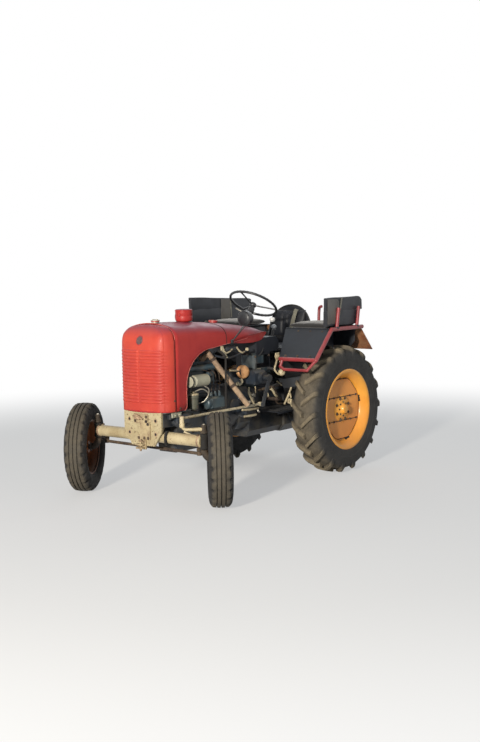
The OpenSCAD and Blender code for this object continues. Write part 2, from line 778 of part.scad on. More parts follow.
module rear_rim() {
  flange_y = 485 + seat_gap - rear_half_track;
  w = rear_rim_w / 2;
  r = rear_rim_r;
  inside = [[0.1, flange_y], [90, flange_y], [90, 24], [225, 40], [r - 30, 62], [r - 30, -w + 12], [r, -w]];
  barrel = [[r, -w + 7], [r - 22, -w + 20], [r - 22, w - 20], [r, w - 7], [r, w], [r - 18, w - 8]];
  dish = [[r - 36, w - 28], [r - 64, w - 46], [r - 101, 54], [r - 101, 50], [112, 34], [100, 36],
    [78, 68], [0.1, 72]];
  difference() {
    y_turned() polygon(concat(inside, barrel, dish));
    for (a = [22.5 : 45 : 360]) rotate([0, a, 0]) translate([0, 0, r - 52]) side_plate(20, 120) {
      translate([-12, -8]) square([24, 16]);
      for (x = [-12, 12]) translate([x, 0]) circle(r = 8);
    }
  }
}

module rear_tyre() {
  w = rear_tyre_w / 2;
  r = rear_rim_r;
  o = rear_tyre_r;
  base = o - rear_lug_h;
  carcass = [[r - 21.7, -93.2], [r + 0.4, -106.4], [r + 5, -116], [r + 30, -w + 6], [o - 105, -w],
    [o - 60, -w + 8], [base - 8, -85],
    [base, -40], [base, 40], [base - 8, 85], [o - 60, w - 8], [o - 105, w], [r + 30, w - 6],
      [r + 5, 116], [r + 0.4, 106.4],
    [r - 21.7, 93.2]];
  tips = [[o - 75, -w + 3], [o - 32, -w + 1], [o - 6, -85], [o, -40], [o, 40], [o - 6, 85],
    [o - 32, w - 1], [o - 75, w - 3]];
  pitch = 360 / rear_lug_n;
  y_turned() polygon(carcass);
  intersection() {
    y_turned() polygon(tips);
    for (side = [0, 1], i = [0 : rear_lug_n - 1])
      scale([1, 1 - 2 * side, 1]) rotate([0, (i + side / 2) * pitch, 0]) translate([0, -6, o]) rotate([0,
        0, rear_lug_slant])
        block([-16, -8, -110], [16, 200, 10]);
  }
}

module rear_wheel_place(side) {
  from_axle() scale([1, side, 1]) translate([0, rear_half_track, rear_z]) children();
}

module rear_rim_left() color("#e3a02c") rear_wheel_place(1) rear_rim();
module rear_tyre_left() color("#2b2a29") rear_wheel_place(1) rear_tyre();
module rear_rim_right() color("#e3a02c") rear_wheel_place(-1) rear_rim();
module rear_tyre_right() color("#2b2a29") rear_wheel_place(-1) rear_tyre();

module steering_wheel() {
  from_axle() color("#16171a") translate([wheel_hub_x, 0, wheel_hub_z]) rotate([0, -wheel_tilt, 0]) {
    rotate_extrude($fn = 120) translate([wheel_d / 2 - 11, 0]) circle(r = 11, $fn = 24);
    translate([0, 0, -28]) cylinder(r = 30, h = 40);
    for (a = [0, 120, 240]) rotate([0, 0, a]) bar([20, 0, -8], [wheel_d / 2 - 12, 0, 0], 6);
  }
}

// Drop arm's ball at rest, from the rear axle
drop_ball = [drop_shaft_x + drop_arm_len * sin(drop_rest), drop_arm_y,
  drop_shaft_z - drop_arm_len * cos(drop_rest)];
// Drag link's front ball at rest
link_front = [wheelbase + lever_len * sin(steer_left), kingpin_y - lever_len * cos(steer_left), link_z];
link_rear = [drop_ball.x, link_rear_y, drop_ball.z];

module drop_arm() {
  from_axle() color("#3b3733") {
    side_plate(drop_arm_y - drop_arm_t / 2, drop_arm_y + drop_arm_t / 2) {
      translate([drop_shaft_x, drop_shaft_z]) circle(r = 30);
      translate([drop_ball.x, drop_ball.z]) circle(r = 20);
      translate([drop_shaft_x, drop_shaft_z]) rotate(drop_rest - 90) translate([0,
        -15]) square([drop_arm_len, 30]);
    }
    y_cyl([drop_shaft_x, (390.3 + drop_arm_y) / 2, drop_shaft_z], 22, drop_arm_y - 390.3);
  }
}

module drag_link() {
  from_axle() color("#a8a49a") {
    bar(link_front, link_rear, rod_r);
    translate([link_front.x, link_front.y, lever_z + 5 + seat_gap]) cylinder(r = ball_r,
      h = link_z - lever_z + 10);
    y_cyl(link_rear, ball_r, 30);
  }
}

// Track rod's balls at rest
function arm_ball(side, angle) = [
  wheelbase - arm_back * cos(angle) + side * arm_in * sin(angle),
  side * kingpin_y - arm_back * sin(angle) - side * arm_in * cos(angle),
  rod_z
];

module track_rod() {
  from_axle() color("#4a4640") {
    a = arm_ball(1, steer_left);
    b = arm_ball(-1, steer_right);
    bar(a, b, 12);
    for (p = [a, b]) translate(p - [0, 0, 14]) cylinder(r = 18, h = 29);
  }
}

engine();
cylinder_head();
gearbox();
rear_axle();
bolster();
front_axle();
nose();
grille();
bonnet();
pre_cleaner();
filler_caps();
exhaust_pipe();
dynamo();
fuel_pump();
dashboard();
steering_column();
steering_box();
headlamps();
footplates();
pedals();
hand_levers();
seat_bracket();
driver_seat();
fenders();
fender_rails();
fender_cushions();
bench_backs();
rear_flaps();
tow_jaw();
drawbar();
pto_shaft();
knuckle_left();
knuckle_right();
front_rim_left();
front_tyre_left();
front_rim_right();
front_tyre_right();
rear_rim_left();
rear_tyre_left();
rear_rim_right();
rear_tyre_right();
steering_wheel();
drop_arm();
drag_link();
track_rod();
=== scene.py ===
from math import atan2, copysign, cos, exp, floor, hypot, log, pi, radians, sin, sqrt, tan

import bpy
from mathutils import Matrix, Vector, noise


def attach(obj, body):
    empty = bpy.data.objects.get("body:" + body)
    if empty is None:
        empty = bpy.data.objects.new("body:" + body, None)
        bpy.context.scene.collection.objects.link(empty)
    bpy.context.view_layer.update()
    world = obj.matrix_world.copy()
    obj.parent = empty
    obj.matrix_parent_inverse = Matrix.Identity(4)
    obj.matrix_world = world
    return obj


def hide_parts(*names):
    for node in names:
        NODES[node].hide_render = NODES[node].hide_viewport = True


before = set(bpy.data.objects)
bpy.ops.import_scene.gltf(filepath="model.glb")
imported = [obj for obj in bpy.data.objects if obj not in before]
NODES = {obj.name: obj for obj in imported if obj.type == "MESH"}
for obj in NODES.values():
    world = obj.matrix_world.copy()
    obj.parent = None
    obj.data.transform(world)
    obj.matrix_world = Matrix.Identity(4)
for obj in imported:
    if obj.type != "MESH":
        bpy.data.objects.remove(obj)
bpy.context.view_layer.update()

# Camera solved from the photograph's wheels, in metres and degrees
REAR_AXLE_X = -0.763
CAM_PLACE = (7.7248 + REAR_AXLE_X, 5.6602, 1.7741)
CAM_YAW = 218.33
CAM_PITCH = 5.62
CAM_ROLL = -1.12
FOCAL_PX = 1097.8
IMAGE_H = 742
SENSOR_MM = 36.0

# Wheels, in millimetres from the rear axle
WHEELBASE = 1693
REAR_HALF_TRACK = 589
REAR_R = 536
FRONT_R = 350
KINGPIN_Y = 547
KINGPIN_OFFSET = 110
AXLE_Z = 485
BOLSTER_X = 1740
BOLSTER_T = 22
# How far each front wheel turns at rest, in degrees, 1 for left and -1 for right
STEER = {1: 41.5, -1: 30.5}
SIDE_NAMES = {1: "left", -1: "right"}

AHEAD, BACK, LEFT, UP = (1, 0, 0), (-1, 0, 0), (0, 1, 0), (0, 0, 1)


def at(x, y, z):
    """A point given in millimetres from the rear axle, in the row frame in metres."""
    return Vector((x / 1000 + REAR_AXLE_X, y / 1000, z / 1000))


def spot(p):
    """A point as it is, or one given as a tuple in millimetres from the rear axle."""
    return p if isinstance(p, Vector) else at(*p)


def around(n, shift=0.0):
    """Angles of n equal steps round a circle, moved on by a share of a step."""
    return [2 * pi * (i + shift) / n for i in range(n)]


def about_y(r, y, t):
    """A point in a wheel's own frame, from radius and width in millimetres and an angle."""
    return Vector((r / 1000 * sin(t), y / 1000, r / 1000 * cos(t)))


def mirrored(points, s):
    """The same points, on the right side where s is -1."""
    return [Vector((p.x, s * p.y, p.z)) for p in points]


def last_inside(inside, low, high, steps):
    """The last value from low to high at which a test holds, found by halving."""
    for _ in range(steps):
        mid = (low + high) / 2
        if inside(mid):
            low = mid
        else:
            high = mid
    return low


def colour(r, g, b):
    """Screen colour 0 to 255 as linear RGBA."""
    lin = [(c / 255 / 12.92) if c < 10.3 else ((c / 255 + 0.055) / 1.055) ** 2.4 for c in (r, g, b)]
    return (*lin, 1)


# Materials

class Shader:
    """A principled material with short calls for its nodes."""

    def __init__(self, name, rough=0.5, metal=0.0, coat=0.0, spec=0.5):
        self.mat = bpy.data.materials.new(name)
        self.mat.use_nodes = True
        self.nt = self.mat.node_tree
        self.bsdf = self.nt.nodes["Principled BSDF"]
        self.bsdf.inputs["Roughness"].default_value = rough
        self.bsdf.inputs["Metallic"].default_value = metal
        self.bsdf.inputs["Coat Weight"].default_value = coat
        self.bsdf.inputs["Coat Roughness"].default_value = 0.15
        self.bsdf.inputs["Specular IOR Level"].default_value = spec
        self.place = self.nt.nodes.new("ShaderNodeTexCoord").outputs["Object"]
        self.normal = self.nt.nodes.new("ShaderNodeNewGeometry").outputs["Normal"]

    def put(self, socket, value):
        """Links a socket, or sets a plain value; None leaves it as it is."""
        if isinstance(value, bpy.types.NodeSocket):
            self.nt.links.new(value, socket)
        elif value is not None:
            socket.default_value = value

    def noise(self, scale, detail=4.0, rough=0.6, stretch=None, warp=0.0):
        """Noise over the object's own place, stretched or warped where asked."""
        vec = self.place
        if stretch:
            m = self.nt.nodes.new("ShaderNodeMapping")
            m.inputs["Scale"].default_value = stretch
            self.put(m.inputs["Vector"], vec)
            vec = m.outputs[0]
        n = self.nt.nodes.new("ShaderNodeTexNoise")
        n.inputs["Scale"].default_value = scale
        n.inputs["Detail"].default_value = detail
        n.inputs["Roughness"].default_value = rough
        n.inputs["Distortion"].default_value = warp
        self.put(n.inputs["Vector"], vec)
        return n.outputs["Fac"]

    def step(self, value, low, high, a=0.0, b=1.0):
        """A soft step from a to b as a value goes from low to high."""
        n = self.nt.nodes.new("ShaderNodeMapRange")
        n.interpolation_type = "SMOOTHSTEP"
        for key, v in (("From Min", low), ("From Max", high), ("To Min", a), ("To Max", b)):
            n.inputs[key].default_value = v
        self.put(n.inputs["Value"], value)
        return n.outputs["Result"]

    def math(self, op, a, b=0.5):
        """One sum on two sockets or numbers."""
        n = self.nt.nodes.new("ShaderNodeMath")
        n.operation = op
        self.put(n.inputs[0], a)
        self.put(n.inputs[1], b)
        return n.outputs[0]

    def mix(self, fac, a, b):
        """Mixes two sockets or screen colours."""
        n = self.nt.nodes.new("ShaderNodeMix")
        n.data_type = "RGBA"
        for key, v in (("Factor", fac), ("A", a), ("B", b)):
            self.put(n.inputs[key], colour(*v) if isinstance(v, tuple) else v)
        return n.outputs["Result"]

    def part(self, vector, axis):
        """One axis of a vector."""
        n = self.nt.nodes.new("ShaderNodeSeparateXYZ")
        self.put(n.inputs[0], vector)
        return n.outputs[axis]

    def length(self, vector):
        """A vector's length."""
        n = self.nt.nodes.new("ShaderNodeVectorMath")
        n.operation = "LENGTH"
        self.put(n.inputs[0], vector)
        return n.outputs["Value"]

    def radius(self):
        """Distance from the local Y axis."""
        x = self.part(self.place, "X")
        z = self.part(self.place, "Z")
        return self.math("SQRT", self.math("ADD", self.math("MULTIPLY", x, x), self.math("MULTIPLY", z, z)))

    def bump(self, height, strength, distance=0.002, under=None):
        """A bumped normal, laid over another where given."""
        n = self.nt.nodes.new("ShaderNodeBump")
        n.inputs["Strength"].default_value = strength
        n.inputs["Distance"].default_value = distance
        self.put(n.inputs["Height"], height)
        if under is not None:
            self.put(n.inputs["Normal"], under)
        return n.outputs[0]

    def done(self, base, rough, normal):
        """Joins what is given to the surface and returns the material."""
        for key, v in (("Base Color", base), ("Roughness", rough), ("Normal", normal)):
            self.put(self.bsdf.inputs[key], v)
        return self.mat


def paint(name, base, shade, bare, dust, wear=0.66, dusty=0.35, rough=0.42, coat=0.0, grain=0.25,
        low_dirt=0.0, top=None):
    """Worn paint: two tones, chips down to bare metal, dust on what faces up and streaks of grime; where a
    top colour is given, a tint on what faces up, faded paint with a painted sky reflection.
    """
    s = Shader(name, rough, coat=coat, spec=0.25 if top else 0.5)
    tone = s.step(s.noise(3.5, 5), 0.38, 0.66)
    colour_1 = s.mix(tone, base, shade)
    streak = s.step(s.noise(16, 4, stretch=(1, 1, 0.12)), 0.5, 0.75, 0, 0.35)
    colour_2 = s.mix(streak, colour_1, shade)
    up = s.step(s.part(s.normal, "Z"), 0.35, 0.98)
    cloud = s.step(s.noise(9, 6, 0.7), 0.34, 0.72)
    dust_fac = s.math("MULTIPLY", s.math("ADD", s.math("MULTIPLY", up, dusty), dusty * 0.35), cloud)
    colour_3 = s.mix(dust_fac, colour_2, dust)
    if low_dirt:
        low = s.step(s.part(s.place, "Z"), 0.35, 0.85, low_dirt, 0.0)
        colour_3 = s.mix(s.math("MULTIPLY", low, cloud), colour_3, dust)
    # Tint on what faces up: faded paint with a painted sky reflection
    if top:
        colour_3 = s.mix(s.step(s.part(s.normal, "Z"), 0.3, 0.92, 0.0, 0.72), colour_3, top)
    chip = s.step(s.noise(55, 8, 0.75, warp=0.4), wear, wear + 0.03)
    colour_4 = s.mix(chip, colour_3, bare)
    fine = s.noise(260, 3)
    bump = s.bump(fine, grain, 0.0006)
    bump = s.bump(chip, -0.3, 0.0006, bump)
    rough_all = s.math("ADD", s.math("MULTIPLY", cloud, 0.16),
            s.math("ADD", s.math("MULTIPLY", chip, 0.3), rough - 0.06))
    return s.done(colour_4, rough_all, bump)


def rusty(name, base, dark, light, rough=0.8, scale=28, metal=0.15):
    """Cast or rusted metal in three tones, lighter on what faces up."""
    s = Shader(name, rough, metal)
    a = s.step(s.noise(scale, 8, 0.7, warp=0.3), 0.35, 0.68)
    b = s.step(s.noise(scale * 0.3, 5, 0.6), 0.42, 0.62)
    c = s.mix(a, dark, base)
    c = s.mix(s.math("MULTIPLY", b, 0.7), c, light)
    up = s.step(s.part(s.normal, "Z"), 0.3, 1.0, 0.0, 0.35)
    c = s.mix(up, c, light)
    fine = s.noise(160, 8, 0.75)
    return s.done(c, s.step(fine, 0.3, 0.7, rough - 0.1, min(1, rough + 0.12)), s.bump(fine, 0.6, 0.0012))


def tyre_rubber(name, tip_r, base_r, tread_dust, side_dust):
    """Rubber about the local Y axis: dust on the tread's tips and cloudy dust on the side walls."""
    s = Shader(name, 0.85, spec=0.3)
    r = s.radius()
    rubber = s.mix(s.step(s.noise(7, 5), 0.35, 0.65), (38, 37, 37), (52, 51, 50))
    cloud = s.step(s.noise(14, 7, 0.72, warp=0.5), 0.3, 0.68)
    streak = s.step(s.noise(40, 5, stretch=(1, 4, 1)), 0.35, 0.7)
    tread = s.step(r, base_r - 0.03, tip_r - 0.004)
    fac = s.math("MULTIPLY", tread, s.math("ADD", s.math("MULTIPLY", cloud, 0.55), 0.42))
    c = s.mix(s.math("MULTIPLY", cloud, 0.38), rubber, side_dust)
    c = s.mix(fac, c, tread_dust)
    c = s.mix(s.math("MULTIPLY", streak, 0.22), c, (34, 32, 30))
    fine = s.noise(220, 6, 0.7)
    return s.done(c, s.step(cloud, 0.0, 1.0, 0.72, 0.95), s.bump(fine, 0.35, 0.0012))


def fabric(name, base, shade, light, rough=0.85, weave=900, sheen=0.3):
    """Woven cover with soft folds, worn lighter on top."""
    s = Shader(name, rough, spec=0.25)
    s.bsdf.inputs["Sheen Weight"].default_value = sheen
    s.bsdf.inputs["Sheen Roughness"].default_value = 0.5
    tone = s.step(s.noise(6, 6, 0.65), 0.35, 0.66)
    c = s.mix(tone, base, shade)
    up = s.step(s.part(s.normal, "Z"), 0.4, 1.0, 0.0, 0.6)
    worn = s.math("MULTIPLY", up, s.step(s.noise(11, 6, 0.7), 0.35, 0.7))
    c = s.mix(worn, c, light)
    wave = s.nt.nodes.new("ShaderNodeTexVoronoi")
    wave.inputs["Scale"].default_value = weave
    s.put(wave.inputs["Vector"], s.place)
    folds = s.noise(26, 3, 0.5, warp=0.6)
    bump = s.bump(wave.outputs["Distance"], 0.25, 0.0006)
    bump = s.bump(folds, 0.35, 0.006, bump)
    return s.done(c, s.step(worn, 0, 1, rough, min(1, rough + 0.08)), bump)


def plain(name, base, shade, rough=0.4, metal=0.0, scale=20, grain=0.2, coat=0.0):
    """One material in two close tones with a fine grain."""
    s = Shader(name, rough, metal, coat)
    n = s.noise(scale, 6, 0.65)
    c = s.mix(s.step(n, 0.35, 0.68), base, shade)
    fine = s.noise(240, 4)
    return s.done(c, s.step(n, 0.3, 0.7, max(0.05, rough - 0.08), min(1, rough + 0.12)),
            s.bump(fine, grain, 0.0008))


DUST = (150, 138, 112)
MAT = {
    # One red in two copies: the nose's lighter and more orange for its lit front, the bonnet's darker for its
    # shaded sides, painted light and shade; on both, what faces up takes a purplish tint, faded paint with a
    # painted sky reflection
    "red": paint("red_paint", (172, 50, 46), (156, 40, 40), (120, 74, 60), (158, 96, 92),
        wear=0.735, dusty=0.16, rough=0.46, coat=0.03, grain=0.12, top=(118, 54, 76)),
    "red_nose_painted_light": paint("red_nose_painted_light", (186, 68, 52), (174, 56, 46), (120, 74, 60), (168, 104, 92),
        wear=0.735, dusty=0.18, rough=0.46, coat=0.03, grain=0.12, top=(126, 58, 76)),
    "red_dark": paint("red_paint_shaded", (168, 42, 44), (140, 34, 40), (90, 56, 50), DUST,
        wear=0.7, dusty=0.4),
    # Light pink for the seam band and the arch bead: painted highlight along those edges
    "red_painted_highlight": paint("red_edge_painted_highlight", (216, 128, 116), (196, 92, 84), (150, 110, 96), (190, 150, 140),
        wear=0.7, dusty=0.2),
    "badge": plain("badge_disc", (104, 78, 76), (78, 60, 62), 0.4, 0.2, 60),
    "jaw": rusty("jaw_cast", (176, 160, 124), (112, 88, 68), (190, 176, 142), 0.8, 13, 0.0),
    "cream": paint("cream_paint", (192, 180, 146), (172, 158, 122), (96, 66, 46), (142, 122, 94),
        wear=0.6, dusty=0.4, rough=0.5, low_dirt=0.35),
    "cream_plate": paint("cream_plate", (186, 175, 142), (168, 155, 120), (88, 60, 44), (126, 106, 80),
        wear=0.575, dusty=0.4, rough=0.55, low_dirt=0.35),
    "engine": paint("engine_paint", (36, 46, 58), (24, 30, 38), (92, 84, 72), (106, 98, 82),
        wear=0.64, dusty=0.5, rough=0.42, low_dirt=0.45),
    "teal": paint("engine_teal", (52, 74, 84), (34, 50, 60), (98, 92, 80), DUST,
        wear=0.66, dusty=0.5, rough=0.45),
    "slate": paint("slate_paint", (23, 29, 37), (18, 22, 30), (70, 68, 64), (46, 48, 50),
        wear=0.735, dusty=0.3, rough=0.6),
    "board": paint("board_paint", (28, 32, 40), (21, 25, 32), (80, 76, 70), (70, 69, 66),
        wear=0.72, dusty=0.3, rough=0.55),
    # Lighter grey patches on the bench backs: painted light standing in for a lit face
    "board_painted_light": paint("board_patch_painted_light", (104, 102, 98), (86, 84, 82), (130, 122, 108), DUST,
        wear=0.7, dusty=0.3, rough=0.65),
    "rail": paint("rail_paint", (146, 44, 50), (124, 38, 45), (110, 70, 56), (150, 106, 100),
        wear=0.66, dusty=0.4, rough=0.4, coat=0.2),
    "rust": rusty("rust", (160, 134, 110), (112, 92, 76), (186, 160, 130)),
    "rust_orange": rusty("rust_orange", (142, 86, 54), (102, 64, 44), (164, 120, 84), 0.75, 18, 0.0),
    # Near black for the knuckles behind the front tyres: painted shade over their cream paint
    "knuckle": rusty("knuckle_painted_shade", (44, 40, 38), (28, 27, 27), (84, 72, 58)),
    "rust_dark": rusty("rust_dark", (70, 56, 48), (42, 36, 34), (104, 88, 70)),
    "yellow": paint("rim_yellow", (240, 168, 60), (226, 148, 46), (150, 96, 54), (206, 160, 96),
        wear=0.72, dusty=0.3, rough=0.42, coat=0.15),
    "disc": paint("rim_disc", (240, 164, 84), (218, 142, 70), (120, 78, 54), (186, 146, 96),
        wear=0.66, dusty=0.35, rough=0.55),
    # Front rims: orange darkened toward brown, painted shade
    "orange": paint("rim_orange", (138, 80, 40), (98, 58, 35), (62, 44, 36), (98, 84, 66),
        wear=0.6, dusty=0.35, rough=0.5),
    "rear_tyre": tyre_rubber("rear_tyre", 0.536, 0.500, (136, 124, 102), (86, 86, 85)),
    # Front side walls near black and barely dusted: painted shade
    "front_tyre": tyre_rubber("front_tyre", 0.350, 0.354, (90, 84, 73), (40, 40, 41)),
    "black": plain("black_plastic", (26, 27, 30), (40, 41, 44), 0.38, coat=0.2),
    "black_matt": plain("black_rubber", (30, 30, 31), (46, 45, 44), 0.75),
    "seat": fabric("seat_cover", (30, 33, 40), (22, 24, 30), (62, 66, 74), 0.5, 1500, 0.1),
    "cushion": fabric("cushion_cover", (50, 49, 48), (41, 40, 41), (74, 71, 66)),
    "strap": fabric("strap_web", (132, 130, 116), (104, 102, 92), (150, 148, 132), 0.9, 1400),
    "grey": paint("grey_metal", (178, 176, 154), (146, 146, 130), (182, 174, 152), DUST,
        wear=0.62, dusty=0.5, rough=0.5),
    "grey_green": paint("grey_green", (92, 92, 78), (70, 72, 62), (150, 140, 116), DUST,
        wear=0.62, dusty=0.4, rough=0.5),
    "steel": plain("steel", (196, 190, 176), (146, 138, 122), 0.38, 0.7, 40),
    "pale": paint("pale_paint", (206, 193, 160), (166, 152, 122), (110, 84, 62), DUST,
        wear=0.57, dusty=0.4, rough=0.5),
    "brass": plain("brass_cap", (188, 142, 94), (152, 106, 66), 0.48, 0.1, 26, coat=0.1),
    "white": plain("white_knob", (240, 240, 238), (222, 222, 220), 0.28, coat=0.4),
    "glass": plain("lens_glass", (30, 32, 36), (22, 24, 28), 0.45, 0.0, 60, 0.2),
    "amber": plain("amber_lens", (226, 120, 36), (196, 92, 26), 0.2, coat=0.6),
    # Near black for holes, slots, gaps, the backs of rims and parts deep in shade: painted shade
    "painted_shade": plain("recess_painted_shade", (22, 21, 20), (34, 32, 29), 0.9),
}


# Mesh tools

class Build:
    """Collects solids in one mesh and hands it over as one piece.

    A point is a Vector in the row frame, or a tuple in millimetres from the rear axle.
    """

    def __init__(self, name, mat, body="chassis", slot="engine_paint"):
        self.name, self.body, self.slot = name, body, slot
        self.verts, self.faces, self.kinds = [], [], []
        self.mats, self.kind = [mat], 0

    def use(self, mat):
        """Sets the material of what is added next."""
        if mat not in self.mats:
            self.mats.append(mat)
        self.kind = self.mats.index(mat)

    def add(self, verts, faces):
        """Adds points and faces in the material in use."""
        start = len(self.verts)
        self.verts += [Vector(v) for v in verts]
        self.faces += [[i + start for i in f] for f in faces]
        self.kinds += [self.kind] * len(faces)

    def rings(self, rings, closed_ring=True, cap=True, loop=False):
        """Skins a list of equal rings of points."""
        n = len(rings[0])
        verts = [p for ring in rings for p in ring]
        faces = []
        last = len(rings) if loop else len(rings) - 1
        for k in range(last):
            a, b = k * n, (k + 1) % len(rings) * n
            for i in range(n if closed_ring else n - 1):
                j = (i + 1) % n
                faces.append([a + i, b + i, b + j, a + j])
        if cap and not loop:
            faces.append(list(range(n)))
            faces.append([(len(rings) - 1) * n + i for i in reversed(range(n))])
        self.add(verts, faces)

    def lathe(self, centre, axis, profile, n=32, cap=True):
        """Revolves (radius, distance) pairs in millimetres about an axis through a point."""
        centre = spot(centre)
        axis = Vector(axis).normalized()
        side = axis.orthogonal().normalized()
        other = axis.cross(side)
        rings = []
        for r, d in profile:
            c = centre + axis * d / 1000
            rings.append([c + (side * cos(t) + other * sin(t)) * r / 1000 for t in around(n)])
        self.rings(rings, True, cap)

    def tube(self, points, r, n=10, smooth=4):
        """A round tube through points, r in millimetres or one for each point."""
        pts = [spot(p) for p in points]
        radii = list(r) if isinstance(r, (list, tuple)) else [r] * len(pts)
        if smooth and len(pts) > 2:
            pts, radii = curve_through(pts, radii, smooth)
        rings = []
        tangent = (pts[1] - pts[0]).normalized()
        side = tangent.orthogonal().normalized()
        for k, p in enumerate(pts):
            a = pts[max(k - 1, 0)]
            b = pts[min(k + 1, len(pts) - 1)]
            t = (b - a).normalized()
            side = (side - t * side.dot(t)).normalized()
            up = t.cross(side)
            rings.append([p + (side * cos(q) + up * sin(q)) * radii[k] / 1000 for q in around(n)])
        self.rings(rings)

    def box(self, centre, size, bevel=3.0, turn=None):
        """A block with bevelled edges; size in millimetres, turn a 3x3 matrix."""
        centre = spot(centre)
        sx, sy, sz = (s / 2000 for s in size)
        c = min(bevel / 1000, sx * 0.8, sy * 0.8, sz * 0.8)
        turn = turn or Matrix.Identity(3)
        rings = []
        for z, inset in ((-sz, c), (-sz + c, 0), (sz - c, 0), (sz, c)):
            x, y = sx - inset, sy - inset
            ring = [(x - c, -y), (x, -y + c), (x, y - c), (x - c, y)]
            ring += [(-a, -b) for a, b in ring]
            rings.append([centre + turn @ Vector((a, b, z)) for a, b in ring])
        self.rings(rings)

    def plate(self, outline, normal, t, bevel=1.0):
        """A flat plate from its outline of points, t millimetres thick along normal."""
        outline = [spot(p) for p in outline]
        n = Vector(normal).normalized()
        mid = sum(outline, Vector()) / len(outline)
        small = [p + (mid - p).normalized() * bevel / 1000 for p in outline]
        h = t / 1000
        c = min(bevel / 1000, h * 0.3)
        self.rings([small, [p + n * c for p in outline], [p + n * (h - c) for p in outline],
                [p + n * h for p in small]])

    def bolt(self, place, axis, r=9, h=7):
        """A hexagon head on its washer, standing out along an axis."""
        axis = Vector(axis).normalized()
        self.lathe(place, axis, [(r * 1.45, -1), (r * 1.45, 2), (r * 1.1, 2.4)], 16)
        self.lathe(place, axis, [(r, 1), (r, 1 + h * 0.85), (r * 0.82, 1 + h)], 6)

    def done(self, replaces=(), smooth=38, matrix=None, mirror=False, thick=0.0, offset=0, subdiv=0):
        """Makes the object, thickened by millimetres and rounded where asked, and rides it on its body."""
        mesh = bpy.data.meshes.new(self.name)
        verts = [Vector((v.x, -v.y, v.z)) for v in self.verts] if mirror else self.verts
        faces = [list(reversed(f)) for f in self.faces] if mirror else self.faces
        mesh.from_pydata(verts, [], faces)
        for m in self.mats:
            mesh.materials.append(MAT[m])
        mesh.polygons.foreach_set("material_index", self.kinds)
        mesh.polygons.foreach_set("use_smooth", [True] * len(faces))
        mesh.update()
        if smooth:
            mesh.set_sharp_from_angle(angle=radians(smooth))
        obj = bpy.data.objects.new(self.name, mesh)
        bpy.context.collection.objects.link(obj)
        if matrix is not None:
            obj.matrix_world = matrix
        if thick:
            solid = obj.modifiers.new("thick", "SOLIDIFY")
            solid.thickness = thick / 1000
            solid.offset = offset
        if subdiv:
            sub = obj.modifiers.new("round", "SUBSURF")
            sub.levels = sub.render_levels = subdiv
        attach(obj, self.body)
        if replaces:
            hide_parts(*replaces)
        return obj


def curve_through(pts, radii, steps):
    """Catmull-Rom points through pts, with radii carried along."""
    out, rad = [], []
    n = len(pts)
    for k in range(n - 1):
        p0, p1, p2, p3 = pts[max(k - 1, 0)], pts[k], pts[k + 1], pts[min(k + 2, n - 1)]
        for i in range(steps):
            t = i / steps
            out.append(0.5 * ((2 * p1) + (p2 - p0) * t + (2 * p0 - 5 * p1 + 4 * p2 - p3) * t * t
                    + (3 * p1 - p0 - 3 * p2 + p3) * t ** 3))
            rad.append(radii[k] + (radii[k + 1] - radii[k]) * t)
    return out + [pts[-1]], rad + [radii[-1]]


def turned(profile, n=96):
    """Rings about the local Y axis from (radius, y) in millimetres."""
    return [[about_y(r, y, t) for t in around(n)] for r, y in profile]


def dress(node, mat):
    """Gives a CAD node its finished material."""
    slots = NODES[node].data.materials
    slots.clear()
    slots.append(MAT[mat])


def wheel_matrix(side, front):
    """Where a wheel's own frame lies at rest."""
    if not front:
        return Matrix.Translation(at(0, side * REAR_HALF_TRACK, REAR_R))
    turn = Matrix.Rotation(radians(STEER[side]), 4, "Z")
    return (Matrix.Translation(at(WHEELBASE, side * KINGPIN_Y, 0)) @ turn
            @ Matrix.Translation((0, side * KINGPIN_OFFSET / 1000, FRONT_R / 1000)))


# Wheels

REAR_LUGS = 18
TYRE_SPREAD = 1.14
LUG_SLANT = radians(42)


def rear_tyre(side):
    """Tyre with slanted lugs in two staggered rows."""
    name = SIDE_NAMES[side]
    b = Build("tyre_rear_" + name, "rear_tyre", "rear_wheel_" + name, "tyre")
    half = [(308, 92), (318, 99), (331, 107), (338, 115), (352, 118.5), (370, 121), (390, 122.5),
            (402, 123.6), (404, 125), (410, 125), (412, 123.6), (431, 124.2), (452, 122), (472, 116),
            (486, 103), (496, 85), (500.5, 60), (502, 30)]
    profile = half + [(502, 0)] + [(r, -y) for r, y in reversed(half)]
    b.rings(turned(profile, 120), cap=False)
    # Each station of a lug: y on the carcass, radius at the foot, y and radius at the tip
    stations = [(-8, 499, -6, 536), (22, 499, 22, 536), (52, 498, 52, 534.5), (78, 494, 80, 531),
            (98, 484, 102, 521), (112, 470, 117, 504), (119, 452, 122.5, 478), (122, 436, 123.5, 446)]
    for lug_side in (0, 1):
        for start in around(REAR_LUGS, lug_side / 2):
            rings = []
            for k, (foot_y, foot_r, tip_y, tip_r) in enumerate(stations):
                lean = -tan(LUG_SLANT) * (min(tip_y, 112) + 6) / REAR_R * 0.98
                half_w = (17 + 5 * k / 7) / REAR_R
                corners = ((-1.3, foot_y, foot_r), (-1.04, tip_y, tip_r - 5), (-0.78, tip_y, tip_r),
                        (0.78, tip_y, tip_r), (1.04, tip_y, tip_r - 5), (1.3, foot_y, foot_r))
                rings.append([about_y(r, y, start + lean + w * half_w) for w, y, r in corners])
            if lug_side:
                rings = [mirrored(reversed(ring), -1) for ring in rings]
            b.rings(rings)
    b.done(["rear_tyre_" + name], 30, wheel_matrix(side, False), side < 0)


